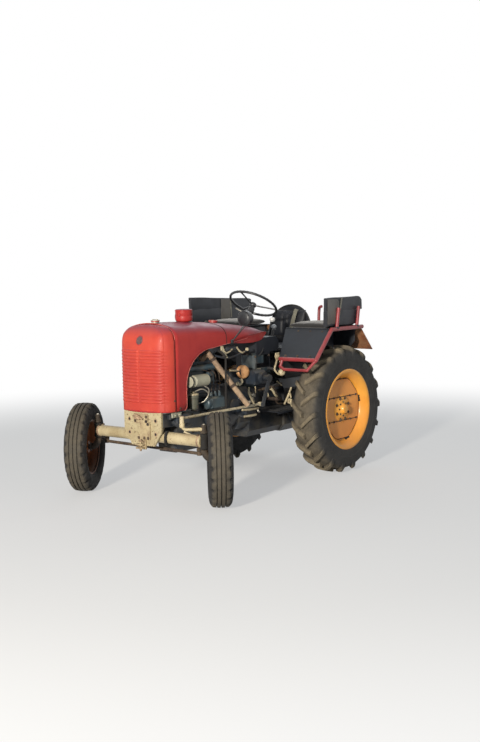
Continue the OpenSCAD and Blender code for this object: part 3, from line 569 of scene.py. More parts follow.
def rear_rim(side):
    """Rim, octagonal disc, hub, bolts, bars and slots."""
    name = SIDE_NAMES[side]
    place = wheel_matrix(side, False)
    flange_y = 485 - REAR_HALF_TRACK
    b = Build("rim_rear_" + name, "yellow", "rear_wheel_" + name, "rim_yellow")
    profile = [(300, -112), (318, -114), (329, -111), (330, -104), (324, -99), (312, -97), (308, -88),
            (302, -60), (296, 0), (300, 60), (304, 84), (310, 94), (320, 100), (334, 106), (340, 110),
            (339, 115), (332, 118), (322, 117), (313, 112), (304, 104), (295, 95), (287, 86), (280, 77),
            (274, 69), (269, 62), (266, 55), (264, 48), (258, 44), (150, 40), (100, 37), (40, 37)]
    b.rings(turned(profile, 128), cap=False)
    back = [(296, -60), (270, -20), (225, 26), (150, 24), (92, 20), (90, flange_y), (10, flange_y)]
    # Back of the dish and the barrel, near black: painted shade
    b.use("painted_shade")
    b.rings(turned(back, 64), cap=False)

    def octagon(scale, y, n=96):
        """A ring with eight flats and rounded corners, scale the flats' radius."""
        ring = []
        for t in around(n):
            local = (t + pi / 8) % (pi / 4) - pi / 8
            ring.append(about_y(min(scale / cos(local), scale * 1.045), y, t))
        return ring

    # Rounded octagon in the dish with its dark outline, grime and painted shade in the gap round the plate
    b.rings([octagon(255, 44), octagon(255, 50.5), octagon(247, 51)], cap=False)
    b.use("disc")
    b.rings([octagon(249, 44), octagon(249, 53), octagon(245, 56), octagon(200, 56), octagon(140, 51),
            octagon(118, 50), octagon(60, 50)], cap=False)
    # Hub, bolts and the two dark bars
    b.use("yellow")
    hub = [(118, 48), (113, 53), (104, 56), (80, 57), (75, 60), (66, 62), (50, 64), (44, 68), (39, 78),
            (35, 88), (30, 91), (14, 92), (1, 92.5)]
    b.rings(turned(hub, 48), cap=False)
    b.use("rust_dark")
    for t in around(8, 0.5):
        b.lathe(about_y(94, 57.2, t), LEFT, [(13, 0), (14, 1), (14, 1.8), (11, 2)], 20)
        b.bolt(about_y(94, 57.5, t), LEFT, 7.5, 9)
    for t in around(8):
        b.bolt(about_y(58, 62, t), LEFT, 5.5, 6)
    for z in (0.102, -0.098):
        b.box(Vector((0, 0.0565, z)), (470, 2, 6), 0.8)
        for x in (-0.205, -0.11, 0.045, 0.13, 0.2):
            b.bolt(Vector((x, 0.058, z)), LEFT, 6.5, 5)
    # Slots at the disc's edge, near-black blocks of painted shade
    for i in range(4):
        t = radians(14 + 90 * i)
        c = about_y(262, 58.5, t)
        along = Vector((cos(t), 0, -sin(t)))
        inward = Vector((-sin(t), 0.9, -cos(t))).normalized()
        turn = Matrix((along, inward, along.cross(inward))).transposed()
        b.use("painted_shade")
        b.box(c, (46, 5, 14), 2, turn)
        for end in (0.022, -0.022):
            b.box(c + along * end - inward * 0.001, (14, 7, 19), 2, turn)
    b.done(["rear_rim_" + name], 32, place, side < 0)


def front_tyre(side):
    """Ribbed tyre with notched shoulders."""
    name = SIDE_NAMES[side]
    b = Build("tyre_front_" + name, "front_tyre", "front_wheel_" + name, "tyre")
    n = 144
    side_wall = [(204, 46), (214, 52), (221, 55.5), (225, 62), (236, 68), (250, 72), (266, 75), (276, 76),
            (280, 77.2), (284, 76), (300, 74.5), (316, 71)]
    shoulder = [(326, 66), (335, 60), (342, 54)]
    crown = [(345, 50), (346, 46), (346.5, 33), (345, 31.5), (337, 30.5), (337, 25.5), (345.5, 24.5),
            (348.6, 22), (349.6, 12), (349.2, 4.5), (347, 3.4), (338, 2.8)]
    half = side_wall + shoulder + crown
    profile = half + [(r, -y) for r, y in reversed(half)]
    rings = []
    for k, (r, y) in enumerate(profile):
        notched = 302 < r < 347 and abs(y) > 45
        ring = []
        for i, t in enumerate(around(n)):
            cut = notched and i % 6 < 2
            low = r - 10 if cut and r > 320 else r
            ring.append(about_y(low, (y - copysign(6, y) if cut and r < 344 else y) * TYRE_SPREAD, t))
        rings.append(ring)
    b.rings(rings, cap=False)
    b.done(["front_tyre_" + name], 30, wheel_matrix(side, True), side < 0)


def front_rim(side):
    """Rim with a holed disc and hub bolts."""
    name = SIDE_NAMES[side]
    b = Build("rim_front_" + name, "orange", "front_wheel_" + name, "rim_orange")
    profile = [(204, -58), (212, -61), (219, -60), (220, -56), (212, -50), (204, -46), (200, -30), (198, 0),
            (200, 30), (204, 46), (212, 50), (220, 56), (219, 60), (212, 61), (204, 58), (198, 50), (196, 36),
            (192, 28), (180, 27), (150, 26), (112, 26), (76, 16), (66, 14), (62, 20), (48, 22), (46, 46),
            (40, 52), (36, 56), (1, 57)]
    b.rings(turned(profile, 96), cap=False)
    back = [(197, 10), (180, 19), (110, 19), (72, 8), (48, 2), (46, -30), (10, -30)]
    b.rings(turned(back, 64), cap=False)
    # Holes in the disc, drawn as near-black discs: painted shade
    b.use("painted_shade")
    for t in around(8):
        for y in (27.5, 18.5):
            b.lathe(about_y(158, y, t), LEFT, [(15, -1), (15, 0.5), (1, 0.6)], 20)
    b.use("steel")
    for t in around(5):
        b.bolt(about_y(56, 21, t), LEFT, 7, 12)
    b.done(["front_rim_" + name], 32, wheel_matrix(side, True), side < 0)


# Bonnet and nose

NOSE_X = 1790
CROWN_Z = 1335
SEAM_X = 1656
HALF_W = 250
CROWN_R = 620
CROWN_FALL_R = 7400
HOOD_FILLET = 100
NOSE_FILLET = 236
FACE_R = 560
CORNER_R = 128
CORNER_X = NOSE_X - FACE_R + sqrt((FACE_R - CORNER_R) ** 2 - (HALF_W - CORNER_R) ** 2)
DOME_LONG = 150
DOME_HIGH = 262
NOSE_CROWN_R = 430
NOSE_BLEND = 11.0
HOOD_END_X = 501
ENGINE_FRONT_X = 1470
HOOD_TIP_Z = 1202
FOOT_Z = 679
ARCH = (1225, 850)
ARCH_LONG = 307
ARCH_HIGH = 274
LOUVRE_N = 16
LOUVRE_LOW_Z = 745
LOUVRE_STEP = 25
LOUVRE_TOP_Z = 1150
LOUVRE_PRESS = 6.4
LOUVRE_IN_Y = 8
LOUVRE_OUT_Y = 212
BADGE_Z = 1211
CAP_X = 1590
PRE_CLEANER = (1260, 0, 1324.3)
BONNET_SEAM_X = 1045


def nose_plan(y):
    """Front face of the nose in plan at y, millimetres from the rear axle."""
    centre = NOSE_X - FACE_R
    if abs(y) <= FACE_R * (HALF_W - CORNER_R) / (FACE_R - CORNER_R):
        return centre + sqrt(FACE_R ** 2 - y * y)
    return CORNER_X + sqrt(max(0, CORNER_R ** 2 - (abs(y) - HALF_W + CORNER_R) ** 2))


def plan_normal(y):
    """Outward direction of the nose's face in plan at y."""
    e = 0.5
    d = (nose_plan(y + e) - nose_plan(y - e)) / (2 * e)
    return Vector((1, -d, 0)).normalized()


def soft_max(values, k):
    """The greatest value, rounded off over about k where two are close."""
    top = max(values)
    return top + log(sum(exp((v - top) / k) for v in values)) * k


def nose_field(x, y, z):
    """Below zero inside the nose: plan, front and side view blended softly, in millimetres."""
    ay = abs(y)
    corner_y = HALF_W - CORNER_R
    if x > CORNER_X and ay > corner_y:
        plan = hypot(x - CORNER_X, ay - corner_y) - CORNER_R
    else:
        face = hypot(x - (NOSE_X - FACE_R), y) - FACE_R
        plan = max(face if x > CORNER_X else -90.0, ay - HALF_W)
    ahead = min(1, max(0, (x - SEAM_X) / 105))
    crown_r = CROWN_R + (NOSE_CROWN_R - CROWN_R) * ahead
    arc_z = CROWN_Z - crown_r
    fillet = HOOD_FILLET + (NOSE_FILLET - HOOD_FILLET) * ahead
    fy = HALF_W - fillet
    fz = arc_z + sqrt((crown_r - fillet) ** 2 - fy * fy)
    if z > fz and ay > fy * (z - arc_z) / (fz - arc_z):
        section = hypot(ay - fy, z - fz) - fillet
    else:
        section = hypot(y, z - arc_z) - crown_r
    sx, sz = NOSE_X - DOME_LONG, CROWN_Z - DOME_HIGH
    if x > sx and z > sz:
        side = (hypot((x - sx) / DOME_LONG, (z - sz) / DOME_HIGH) - 1) * DOME_LONG
    else:
        side = max(x - NOSE_X, z - CROWN_Z)
    return soft_max((plan, section, side), NOSE_BLEND)


def nose_front(z):
    """How far forward the nose reaches on its centre line at a height."""
    return last_inside(lambda x: nose_field(x, 0, z) <= 0, SEAM_X, NOSE_X + 40, 30)


def louvre_press(y, z):
    """How far the pressed louvres stand out at a place on the nose, in millimetres."""
    ay = abs(y)
    row = (z - LOUVRE_LOW_Z) / LOUVRE_STEP
    if not 0 <= row < LOUVRE_N or not LOUVRE_IN_Y <= ay <= LOUVRE_OUT_Y:
        return 0.0
    f = row - floor(row)
    end = sin(min(1.0, (ay - LOUVRE_IN_Y) / 14, (LOUVRE_OUT_Y - ay) / 24) * pi / 2)
    # Steep lower lip, long slope to the top, thin groove between two louvres
    if f < 0.1:
        h = -1.6 * sin(f / 0.1 * pi)
    elif f < 0.3:
        h = LOUVRE_PRESS * sin((f - 0.1) / 0.2 * pi / 2)
    elif f < 0.9:
        h = LOUVRE_PRESS * cos((f - 0.3) / 0.6 * pi / 2) ** 1.2
    else:
        h = 0.0
    return h * end


def nose_shell():
    """One pressed sheet for the nose, with its louvres and rolled edges."""
    b = Build("nose_shell", "red_nose_painted_light", "chassis", "red_paint")
    cols = [-90, -86, -80, -72, -66]
    ys = [214, 210, 206, 202, 198, 194, 190, 184, 176, 166, 154, 142, 130, 115, 100, 85, 70, 56, 44, 34, 26,
            20, 16, 12, 8, 3]
    face = [-y for y in ys] + ys[::-1]
    columns = [radians(c) for c in cols] + [atan2(y, nose_plan(y) - SEAM_X) for y in face]
    columns += [radians(-c) for c in reversed(cols)]
    # Each row's height and, above the louvres, its rise in degrees from there
    rows = [(z, 0) for z in (FOOT_Z, 683, 690, 700, 715, 730, 740, 744)]
    for i in range(LOUVRE_N):
        rows += [(LOUVRE_LOW_Z + LOUVRE_STEP * (i + f), 0)
                for f in (0.0, 0.05, 0.1, 0.14, 0.19, 0.25, 0.32, 0.42, 0.54, 0.66, 0.78, 0.88, 0.95)]
    rows += [(z, 0) for z in (LOUVRE_TOP_Z - 4.5, LOUVRE_TOP_Z - 1)]
    rows += [(LOUVRE_TOP_Z, rise) for rise in (2, 4, 7, *range(10, 83, 4), 85, 87.5, 89.3)]
    grid = []
    for foot_z, rise in rows:
        line = []
        for azimuth in columns:
            e = radians(rise)
            dx, dy, dz = cos(e) * cos(azimuth), cos(e) * sin(azimuth), sin(e)
            r = last_inside(lambda far: nose_field(SEAM_X + dx * far, dy * far, foot_z + dz * far) <= 0,
                    20.0, 420.0, 22)
            x, y, z = SEAM_X + dx * r, dy * r, foot_z + dz * r
            press = louvre_press(y, z) if x > SEAM_X + 60 else 0.0
            roll = 4.0 * max(0.0, (686 - z) / 10) ** 2
            line.append(at(x, y, z) + plan_normal(max(-240, min(240, y))) * (press - roll) / 1000)
        grid.append(line)
    b.rings(grid, False, False)
    b.done(["nose", "grille"], 42, thick=4, offset=-1)


def hood_drop(x):
    """How far the crown has fallen at x behind the seam."""
    return CROWN_FALL_R - sqrt(CROWN_FALL_R ** 2 - (SEAM_X - x) ** 2) if x < SEAM_X else 0


def hood_outline(x, grow=0.0, n=22):
    """Half of the bonnet's front view at x, from the crown down the left side, in row metres."""
    arc_z = CROWN_Z - CROWN_R
    fy = HALF_W - HOOD_FILLET
    fz = arc_z + sqrt((CROWN_R - HOOD_FILLET) ** 2 - fy * fy)
    pts = []
    tip = atan2(fy, fz - arc_z)
    for i in range(n):
        t = tip * i / (n - 1)
        pts.append(((CROWN_R + grow) * sin(t), arc_z + (CROWN_R + grow) * cos(t)))
    for i in range(1, 11):
        t = tip + (pi / 2 - tip) * i / 10
        pts.append((fy + (HOOD_FILLET + grow) * sin(t), fz + (HOOD_FILLET + grow) * cos(t)))
    return [at(x, y, z - hood_drop(x)) for y, z in pts]


def hood_edge():
    """Lower edge of the bonnet's side from its front foot over the arch to the tip, as (x, z)."""
    foot = [(SEAM_X - 1, FOOT_Z), (1610, FOOT_Z)]
    top = ARCH[0] + ARCH_LONG
    for t in map(radians, range(0, 91, 15)):
        foot.append((top + 0.4 + 34 * (1 - sin(t)), FOOT_Z + 34 * (1 - cos(t))))
    arch = [(ARCH[0] + ARCH_LONG * cos(t), ARCH[1] + ARCH_HIGH * sin(t))
            for t in map(radians, range(0, 91, 5))]
    top_z = ARCH[1] + ARCH_HIGH
    back = [(ARCH[0] - (ARCH[0] - HOOD_END_X) / 16 * k, top_z + (HOOD_TIP_Z - top_z) * k / 16)
            for k in range(1, 17)]
    return foot + arch + back


def bonnet():
    """The pressed bonnet as two halves that meet at the crown, with its arch and slanted rear end."""
    b = Build("bonnet_sheet", "red", "chassis", "red_paint")
    for s in (1, -1):
        rings = []
        for x, z_low in hood_edge():
            high = max(HOOD_TIP_Z + 78 * (x - HOOD_END_X) / 66, z_low + 3)
            full = hood_outline(x, 0.0, 30) + [at(x, HALF_W, FOOT_Z)]
            split = max(full[-2].z * 1000, z_low + min(6, (high - z_low) / 2))
            line = spread(cut_between(full, split / 1000, high / 1000), 36)[:-1]
            line += spread(cut_between(full, z_low / 1000, split / 1000), 10)
            rings.append(mirrored(line, s))
        b.rings(list(reversed(rings)) if s > 0 else rings, False, False)
    b.done(["bonnet"], 60, thick=3.5, offset=-1)


def cut_between(line, low, high):
    """The stretch of a falling line of points between two heights."""
    out = []
    for a, b in zip(line, line[1:]):
        for f in (0.0, (a.z - high) / max(a.z - b.z, 1e-9), (a.z - low) / max(a.z - b.z, 1e-9), 1.0):
            p = a.lerp(b, min(1, max(0, f)))
            if low - 1e-6 <= p.z <= high + 1e-6 and (not out or (out[-1] - p).length > 1e-7):
                out.append(p)
    return out if len(out) > 1 else [out[0], out[0] - Vector((0, 0, 1e-4))]


def spread(line, n):
    """The same line with n points at equal steps."""
    total = [0.0]
    for a, b in zip(line, line[1:]):
        total.append(total[-1] + (b - a).length)
    out, k = [], 0
    for i in range(n):
        want = total[-1] * i / (n - 1)
        while k < len(line) - 2 and total[k + 1] < want:
            k += 1
        gap = max(total[k + 1] - total[k], 1e-12)
        out.append(line[k].lerp(line[k + 1], min(1, (want - total[k]) / gap)))
    return out


def hood_trim():
    """Seams, beads, hinge line, badge, bolts and lips on nose and bonnet."""
    b = Build("bonnet_trim", "red", "chassis", "red_paint")
    # Seam band in light pink: painted highlight along the seam
    b.use("red_painted_highlight")
    line = hood_outline(SEAM_X, 1.2)
    for s in (1, -1):
        path = mirrored(line, s) + [at(SEAM_X, s * 251.2, z) for z in (1120, 1000, 850, 760, 679)]
        b.tube(path, 1.5, 6, 0)
    # Bead round the wheel arch of the bonnet side, its light pink a painted highlight
    for s in (1, -1):
        b.tube([(x, s * (HALF_W - 0.5), z) for x, z in hood_edge()[2:-6]], 2.2, 6, 0)
    # Hinge line along the crown: a thin near-black line of painted shade
    b.use("painted_shade")
    b.tube([(x, 0, CROWN_Z - hood_drop(x) + 0.4) for x in range(600, 1650, 50)], 1.4, 6, 0)
    # Badge place: a plain dark disc in a red ring
    b.use("red")
    low, high = nose_front(BADGE_Z - 20), nose_front(BADGE_Z + 20)
    face, out = at((low + high) / 2 - 1, 0, BADGE_Z), Vector((40, 0, low - high))
    b.lathe(face, out, [(39, -6), (39, 3), (36, 6), (33, 6.4), (32, 4.6)], 40)
    b.use("badge")
    b.lathe(face, out, [(32, 3), (31, 6.4), (24, 7.6), (22, 6.8), (9, 8.4), (1, 8.8)], 40)
    # Bolts low on the seam and on the nose's foot
    b.use("rust_dark")
    for s in (1, -1):
        b.bolt((SEAM_X + 14, s * 250, 762), (0, s, 0), 6, 5)
        b.bolt((SEAM_X - 46, s * 250, 700), (0, s, 0), 6, 5)
    # Lip along the nose's foot
    b.use("red")
    foot = [at(nose_plan(y) - 1.0, y, 681) for y in range(-236, 237, 12)]
    b.tube(foot, 5, 8, 0)
    # Seam of the rear section as a near-black line of painted shade, and the dark red lip below it in the
    # shaded copy of the red, painted shade
    b.use("painted_shade")
    for s in (1, -1):
        line = [p for p in hood_outline(BONNET_SEAM_X, 0.6) if p.z > 1.146]
        line.append(at(BONNET_SEAM_X, HALF_W + 0.6, 1146))
        b.tube(mirrored(line, s), 2.4, 6, 0)
    b.use("red_dark")
    lip = [(1010, 1152), (930, 1141), (830, 1134), (730, 1131), (640, 1136), (580, 1148), (540, 1176),
            (508, 1206), (560, 1212), (800, 1190), (1010, 1168)]
    for s in (1, -1):
        b.plate([(x, s * 240, z) for x, z in (lip if s < 0 else reversed(lip))], (0, s, 0), 4, 1.5)
    b.done()


def caps():
    """Silver radiator cap and the can of the pre-cleaner."""
    b = Build("radiator_cap_top", "steel", "chassis", "grey_metal")
    c = at(CAP_X, 0, CROWN_Z + 20)
    b.lathe(c, UP, [(30, -19), (30, -8), (33, -7), (34.5, -3), (33, 1), (22, 3), (18, 6), (9, 8),
            (1, 8.4)], 36)
    b.use("pale")
    b.box(c + Vector((0, 0, 0.004)), (12, 58, 7), 3)
    b.done()
    b = Build("pre_cleaner_can", "red", "chassis", "red_paint")
    base = at(*PRE_CLEANER)
    b.lathe(base, UP, [(41, 0), (44, 1), (52, 3), (60, 6), (65, 11), (67, 17), (67, 46), (66.2, 47.5),
            (66.2, 50.5), (67, 52), (67, 84), (69, 86.5), (69.4, 90), (67.5, 95), (62, 98.5), (40, 100.5),
            (1, 101)], 64)
    # Catch in the shaded copy of the red: painted shade
    b.use("red_dark")
    b.box(base + Vector((0.068, 0.012, 0.056)), (8, 16, 22), 2)
    b.bolt(base + Vector((0.071, 0.012, 0.056)), (1, 0.1, 0), 4, 4)
    b.done(["pre_cleaner"])


# Front axle and knuckles

def front_axle():
    """Axle tube with its kingpin bosses, pivot, and a dark band of painted shadow over the beam."""
    b = Build("axle_beam", "cream", "chassis", "cream_paint")
    for s in (1, -1):
        b.use("cream")
        b.lathe((WHEELBASE, 0, AXLE_Z), (0, s, 0), [(44, 0), (44, 190), (45.5, 194), (45.5, 206), (44, 210),
                (43, 500), (46, 503), (47, 520), (45, 524), (38, 530)], 40)
        # Kingpin bosses in near black: painted shade behind the tyres
        b.use("painted_shade")
        b.lathe((WHEELBASE, s * KINGPIN_Y, 428), UP, [(20, 0), (27, 2), (29, 6), (30, 14), (29, 24), (27, 40),
                (27, 78), (29, 94), (30, 104), (28, 112), (22, 116)], 32)
        b.use("rust")
        b.lathe((WHEELBASE, s * 503, AXLE_Z), (0, s, 0), [(46.2, -1), (47.6, 1), (47.6, 15),
                (46.2, 17)], 40, False)
        b.use("rust_dark")
        for way in (1, -1):
            b.bolt((WHEELBASE + way * 20, s * 505, AXLE_Z + 44), (way * 0.3, 0, 1), 8, 9)
    b.use("cream")
    b.lathe((WHEELBASE - 45, 0, AXLE_Z), AHEAD, [(50, 0), (60, 3), (62, 8), (62, 82), (60, 87), (50, 90)], 40)
    b.use("rust_dark")
    b.lathe((WHEELBASE - 84, 0, AXLE_Z), AHEAD, [(12, 0), (20, 3), (20, 150), (17, 154), (1, 155)], 24)
    # Dark band over the beam beside the bolster, as in the photograph: painted shadow of the gap there
    b.use("painted_shade")
    b.tube([(WHEELBASE + 30, 208, 536), (WHEELBASE + 52, 214, 500), (WHEELBASE + 50, 212, 462),
            (WHEELBASE + 26, 206, 437)], 11, 10)
    b.done(["front_axle"])


def knuckle(side):
    """Spindle with its steering arm and, on the left, the drag link's lever."""
    name = SIDE_NAMES[side]
    turn = Matrix.Rotation(radians(STEER[side]), 4, "Z")
    place = Matrix.Translation(at(WHEELBASE, side * KINGPIN_Y, 0)) @ turn
    b = Build("knuckle_piece_" + name, "knuckle", "knuckle_" + name, "cream_paint")

    def p(x, y, z):
        return Vector((x / 1000, y / 1000, z / 1000))

    # Spindle and steering arm in near black: painted shade over the cream knuckle
    # Forged spindle curving out to the stub
    b.lathe(p(0, 0, 396), UP, [(14, 0), (24, 3), (25, 10), (25, 24), (20, 28)], 28)
    b.tube([p(0, -2, 412), p(0, 6, 392), p(0, 26, 366), p(0, 52, 352), p(0, 84, 350)],
            [24, 26, 26, 22, 18], 20)
    b.lathe(p(0, 58, 350), LEFT, [(20, 0), (32, 2), (33, 8), (24, 12), (18, 14), (18, 62)], 28)
    b.lathe(p(0, 0, 546), UP, [(20, 0), (28, 2), (28, 12), (22, 18), (20, 40), (22, 46), (22, 58), (16, 62),
            (1, 62.5)], 28)
    b.use("knuckle")
    b.tube([p(0, 0, 405), p(-60, -14, 405), p(-130, -35, 405)], [13, 11, 11], 16)
    b.lathe(p(-130, -35, 391), UP, [(12, 0), (18, 2), (20, 5), (20, 23), (18, 26), (12, 28)], 28)
    if side > 0:
        b.use("cream")
        b.tube([p(0, 0, 577), p(0, -50, 576), p(0, -105, 576), p(0, -134, 578), p(0, -150, 588),
                p(0, -158, 602)], [15, 14, 12, 12, 12, 13], 16)
        b.lathe(p(0, -158, 590), UP, [(12, 0), (18, 3), (20, 8), (20, 32), (17, 37)], 28)
    b.use("steel")
    b.lathe(p(0, 0, 608), UP, [(10, 0), (10, 6), (4, 9), (1, 9.2)], 12)
    b.done(["knuckle_" + name], 38, place, side < 0)


def bolster():
    """The cream front plate with its dark carrier behind."""
    b = Build("bolster_plate", "cream_plate", "chassis", "cream_paint")
    front = [(-190, 679), (-190, 530), (-115, 418), (115, 418), (190, 530), (190, 679)]
    b.plate([(BOLSTER_X, y, z) for y, z in front], AHEAD, BOLSTER_T, 3)
    b.plate([(1618, y, z) for y, z in ((-120, 610), (-60, 430), (60, 430), (120, 610))], AHEAD, 25, 3)
    b.use("engine")
    mid_x, long = (ENGINE_FRONT_X + BOLSTER_X) / 2, BOLSTER_X - ENGINE_FRONT_X
    for s in (1, -1):
        b.box((mid_x, s * 170, 613), (long, 40, 106), 5)
    b.box((mid_x, 0, 634), (long, 300, 66), 5)
    half = [(ENGINE_FRONT_X, 236), (1680, 236), (1730, 214), (1752, 170)]
    deck = [(x, -y) for x, y in half] + half[::-1]
    b.plate([(x, y, 667) for x, y in deck], UP, 11.5, 2)
    b.done(["bolster"])


def bolster_trim():
    """Bolts and rusty rims on the bolster, the jaw's bolts, and the dark crossmember under the radiator."""
    b = Build("bolster_fittings", "rust", "chassis", "rust")
    x = BOLSTER_X + BOLSTER_T
    for s in (1, -1):
        for z in (512, 614):
            b.use("rust")
            b.lathe((x, s * 133, z), AHEAD, [(17, 0), (16, 1.2), (11, 1.4), (10.6, 0.2)], 24, False)
            # Near-black discs in the rusty rims: painted shade of the holes
            b.use("painted_shade")
            b.lathe((x, s * 133, z), AHEAD, [(11, -1), (10.8, 0.8), (1, 0.9)], 24)
    b.use("rust_dark")
    for y, z in ((-62, 640), (-62, 606), (50, 640), (50, 606), (66, 480), (66, 585), (-28, 480), (28, 480)):
        b.bolt((x + 12.3, y, z), AHEAD, 8.5, 8)
    b.use("rust")
    b.box((x + 20, -36, 632), (20, 64, 34), 5)
    b.tube([(x + 22, -70, 640), (x + 34, -40, 652), (x + 36, 0, 640), (x + 30, 30, 622)], 7, 10)
    b.tube([(x + 26, 0, 462), (x + 26, 0, 380)], 8, 14)
    b.tube([(x + 26, 0, 462), (x + 44, 10, 474), (x + 46, 26, 462), (x + 30, 30, 452)], 4, 8)
    # Dark crossmember and tray between the rails
    b.use("engine")
    b.box((1600, 0, 640), (180, 430, 52), 8)
    for s in (1, -1):
        b.box((1560, s * 214, 612), (150, 40, 88), 10)
    b.use("grey")
    b.box((1640, 236, 652), (110, 12, 40), 4)
    for x in (1660, 1612):
        b.bolt((x, 243, 652), LEFT, 8, 8)
    b.use("engine")
    b.tube([(1650, 200, 600), (1600, 232, 560), (1520, 236, 540), (1440, 210, 545)], 15, 12)
    b.done()


# Engine side

CRANK_Z = 560
FAN_Z = 760
COVER_Y = 161
PUMP = (1140, 196, 690)
FUEL_PUMP = (1400, 195)
PILLAR_Y = 350
EXHAUST_TOP = (1225, 208, 1083)
EXHAUST_END = (1030, 440, 668)


def side_cover(b):
    """Bolts of the side cover and the ribs above it."""
    b.use("rust_dark")
    for x in (1070, 1170, 1270, 1370, 1450):
        for z in (486, 618):
            b.bolt((x, COVER_Y, z), LEFT, 8, 6)
    b.use("engine")
    for z in (690, 716, 742, 768):
        b.box((1270, 153, z), (500, 14, 10), 4)


def injector_pump(b):
    """Injector pump with its outlets and the pipes to the head."""
    mid_x, y, z = PUMP
    b.use("teal")
    b.box(PUMP, (170, 78, 96), 12)
    b.lathe((mid_x + 85, y, z), AHEAD, [(44, 0), (44, 26), (36, 34), (30, 36)], 28)
    for x in (mid_x - 55, mid_x - 7, mid_x + 41):
        b.lathe((x, y, z + 48), UP, [(14, 0), (14, 24), (9, 28), (8, 40)], 16)
    b.use("rust_dark")
    for x, head_x in ((mid_x - 55, 1150), (mid_x - 7, 1275), (mid_x + 41, 1400)):
        b.tube([(x, y, z + 86), (x, y + 8, 850), (x + 10, y, 930), (head_x, 168, 986),
                (head_x, 142, 1003)], 3, 8)


def fuel_pump_trim(b):
    """Wire bail, cap and pipes of the fuel pump."""
    b.use("rust_dark")
    x, y = FUEL_PUMP
    b.tube([(x, y + 43, 700), (x, y + 47, 660), (x, y, 652), (x, y - 43, 662), (x, y - 45, 720)], 3, 8)
    b.use("pale")
    b.lathe((x, y, 776), UP, [(46, 0), (46, 8), (30, 14), (16, 16), (14, 24), (1, 25)], 28)
    b.use("steel")
    b.tube([(1380, 200, 800), (1350, 240, 818), (1300, 244, 800), (1262, 236, 770), (1240, 210, 744)], 5, 8)
    b.tube([(1330, 250, 842), (1290, 262, 812), (1285, 250, 760), (1310, 226, 716), (1330, 170, 700)], 4, 8)


def head_trim(b):
    """Ledges and bolts on the head, and the two water hoses."""
    b.use("teal")
    b.box((1290, 118, 860), (330, 26, 60), 10)
    b.box((1130, 134, 912), (80, 40, 54), 12)
    b.use("rust_dark")
    for x in (1080, 1160, 1240, 1320, 1400, 1470):
        b.bolt((x, 122, 836), LEFT, 7, 6)
    b.use("black_matt")
    b.tube([(1505, 20, 1040), (1560, 40, 1080), (1600, 60, 1130), (1620, 66, 1170)], 27, 16)
    b.tube([(1545, 90, 560), (1590, 120, 610), (1620, 120, 690)], 25, 16)


def flange_bolts(b):
    """Bolts round the engine's rear flange and the gearbox's front one."""
    b.use("rust_dark")
    for t in around(14):
        b.bolt((999, 188 * sin(t), 600 + 188 * cos(t)), BACK, 8, 8)
    for t in around(12, 0.5):
        b.bolt((653, 164 * sin(t), 580 + 164 * cos(t)), AHEAD, 8, 8)


def oil_filter(b):
    """Oil filter with its pipe, and the pale pipe along the sump."""
    b.use("engine")
    b.lathe((1180, 165, 560), LEFT, [(54, 0), (54, 12), (46, 16), (44, 60), (36, 70), (14, 74), (12, 84),
            (1, 84.5)], 28)
    b.use("pale")
    b.tube([(1180, 246, 560), (1120, 252, 570), (1060, 220, 600), (1040, 190, 640)], 5, 8)
    b.tube([(1480, 165, 500), (1440, 215, 470), (1380, 222, 450), (1300, 200, 440), (1200, 172, 442)], 7, 10)


def engine_left():
    """What fills the open bay on the left, as seen in the photograph."""
    b = Build("engine_fittings_left", "engine", "chassis", "engine_paint")
    for group in (side_cover, injector_pump, fuel_pump_trim, head_trim, flange_bolts, oil_filter):
        group(b)
    b.done()


def fan_and_belt():
    """Cooling fan, its hub, the crank pulley and the belt."""
    b = Build("fan_and_belt", "engine", "chassis", "engine_paint")
    c = at(1590, 0, FAN_Z)
    b.lathe((1564, 0, FAN_Z), AHEAD, [(20, 0), (44, 2), (44, 6), (36, 12), (44, 18), (44, 22), (20, 24),
            (18, 34), (1, 34.5)], 32)
    for t in (a + 0.35 for a in around(4)):
        out = Vector((0, sin(t), cos(t)))
        along = Vector((0.42, cos(t) * 0.9, -sin(t) * 0.9)).normalized()
        half = [(34, 16), (70, 30), (168, 34), (176, 22)]
        blade = [(r, -w) for r, w in half] + half[::-1]
        b.plate([c + out * r / 1000 + along * w / 1000 for r, w in blade], out.cross(along), 3)
    # Belt round the crank pulley, the fan pulley and the dynamo's pulley
    b.use("black_matt")
    circles = [(0, CRANK_Z, 62), (235, 885, 40), (0, FAN_Z, 42)]
    hull = []
    for y, z, r in circles:
        hull += [(y + r * cos(t), z + r * sin(t)) for t in around(24)]
    hull = convex(hull)
    inner, rings = sum((Vector(p) for p in hull), Vector((0, 0))) / len(hull), []
    for y, z in hull:
        d = (Vector((y, z)) - inner).normalized()
        rings.append([at(x, y + d.x * out, z + d.y * out)
                for x, out in ((1472.5, -4), (1480.5, -4), (1482, 3), (1471, 3))])
    b.rings(rings, True, False, True)
    b.use("engine")
    b.lathe((1545, 0, CRANK_Z), AHEAD, [(20, -90), (66, -88), (66, -80), (57, -72), (66, -64), (66, -58),
            (30, -56), (28, 0)], 40)
    b.done()


def convex(points):
    """The outer hull of (y, z) points."""
    pts = sorted(points)

    def turns_left(a, b, c):
        return (b[0] - a[0]) * (c[1] - a[1]) > (b[1] - a[1]) * (c[0] - a[0])

    def half(seq):
        out = []
        for p in seq:
            while len(out) > 1 and not turns_left(out[-2], out[-1], p):
                out.pop()
            out.append(p)
        return out[:-1]

    return half(pts) + half(reversed(pts))


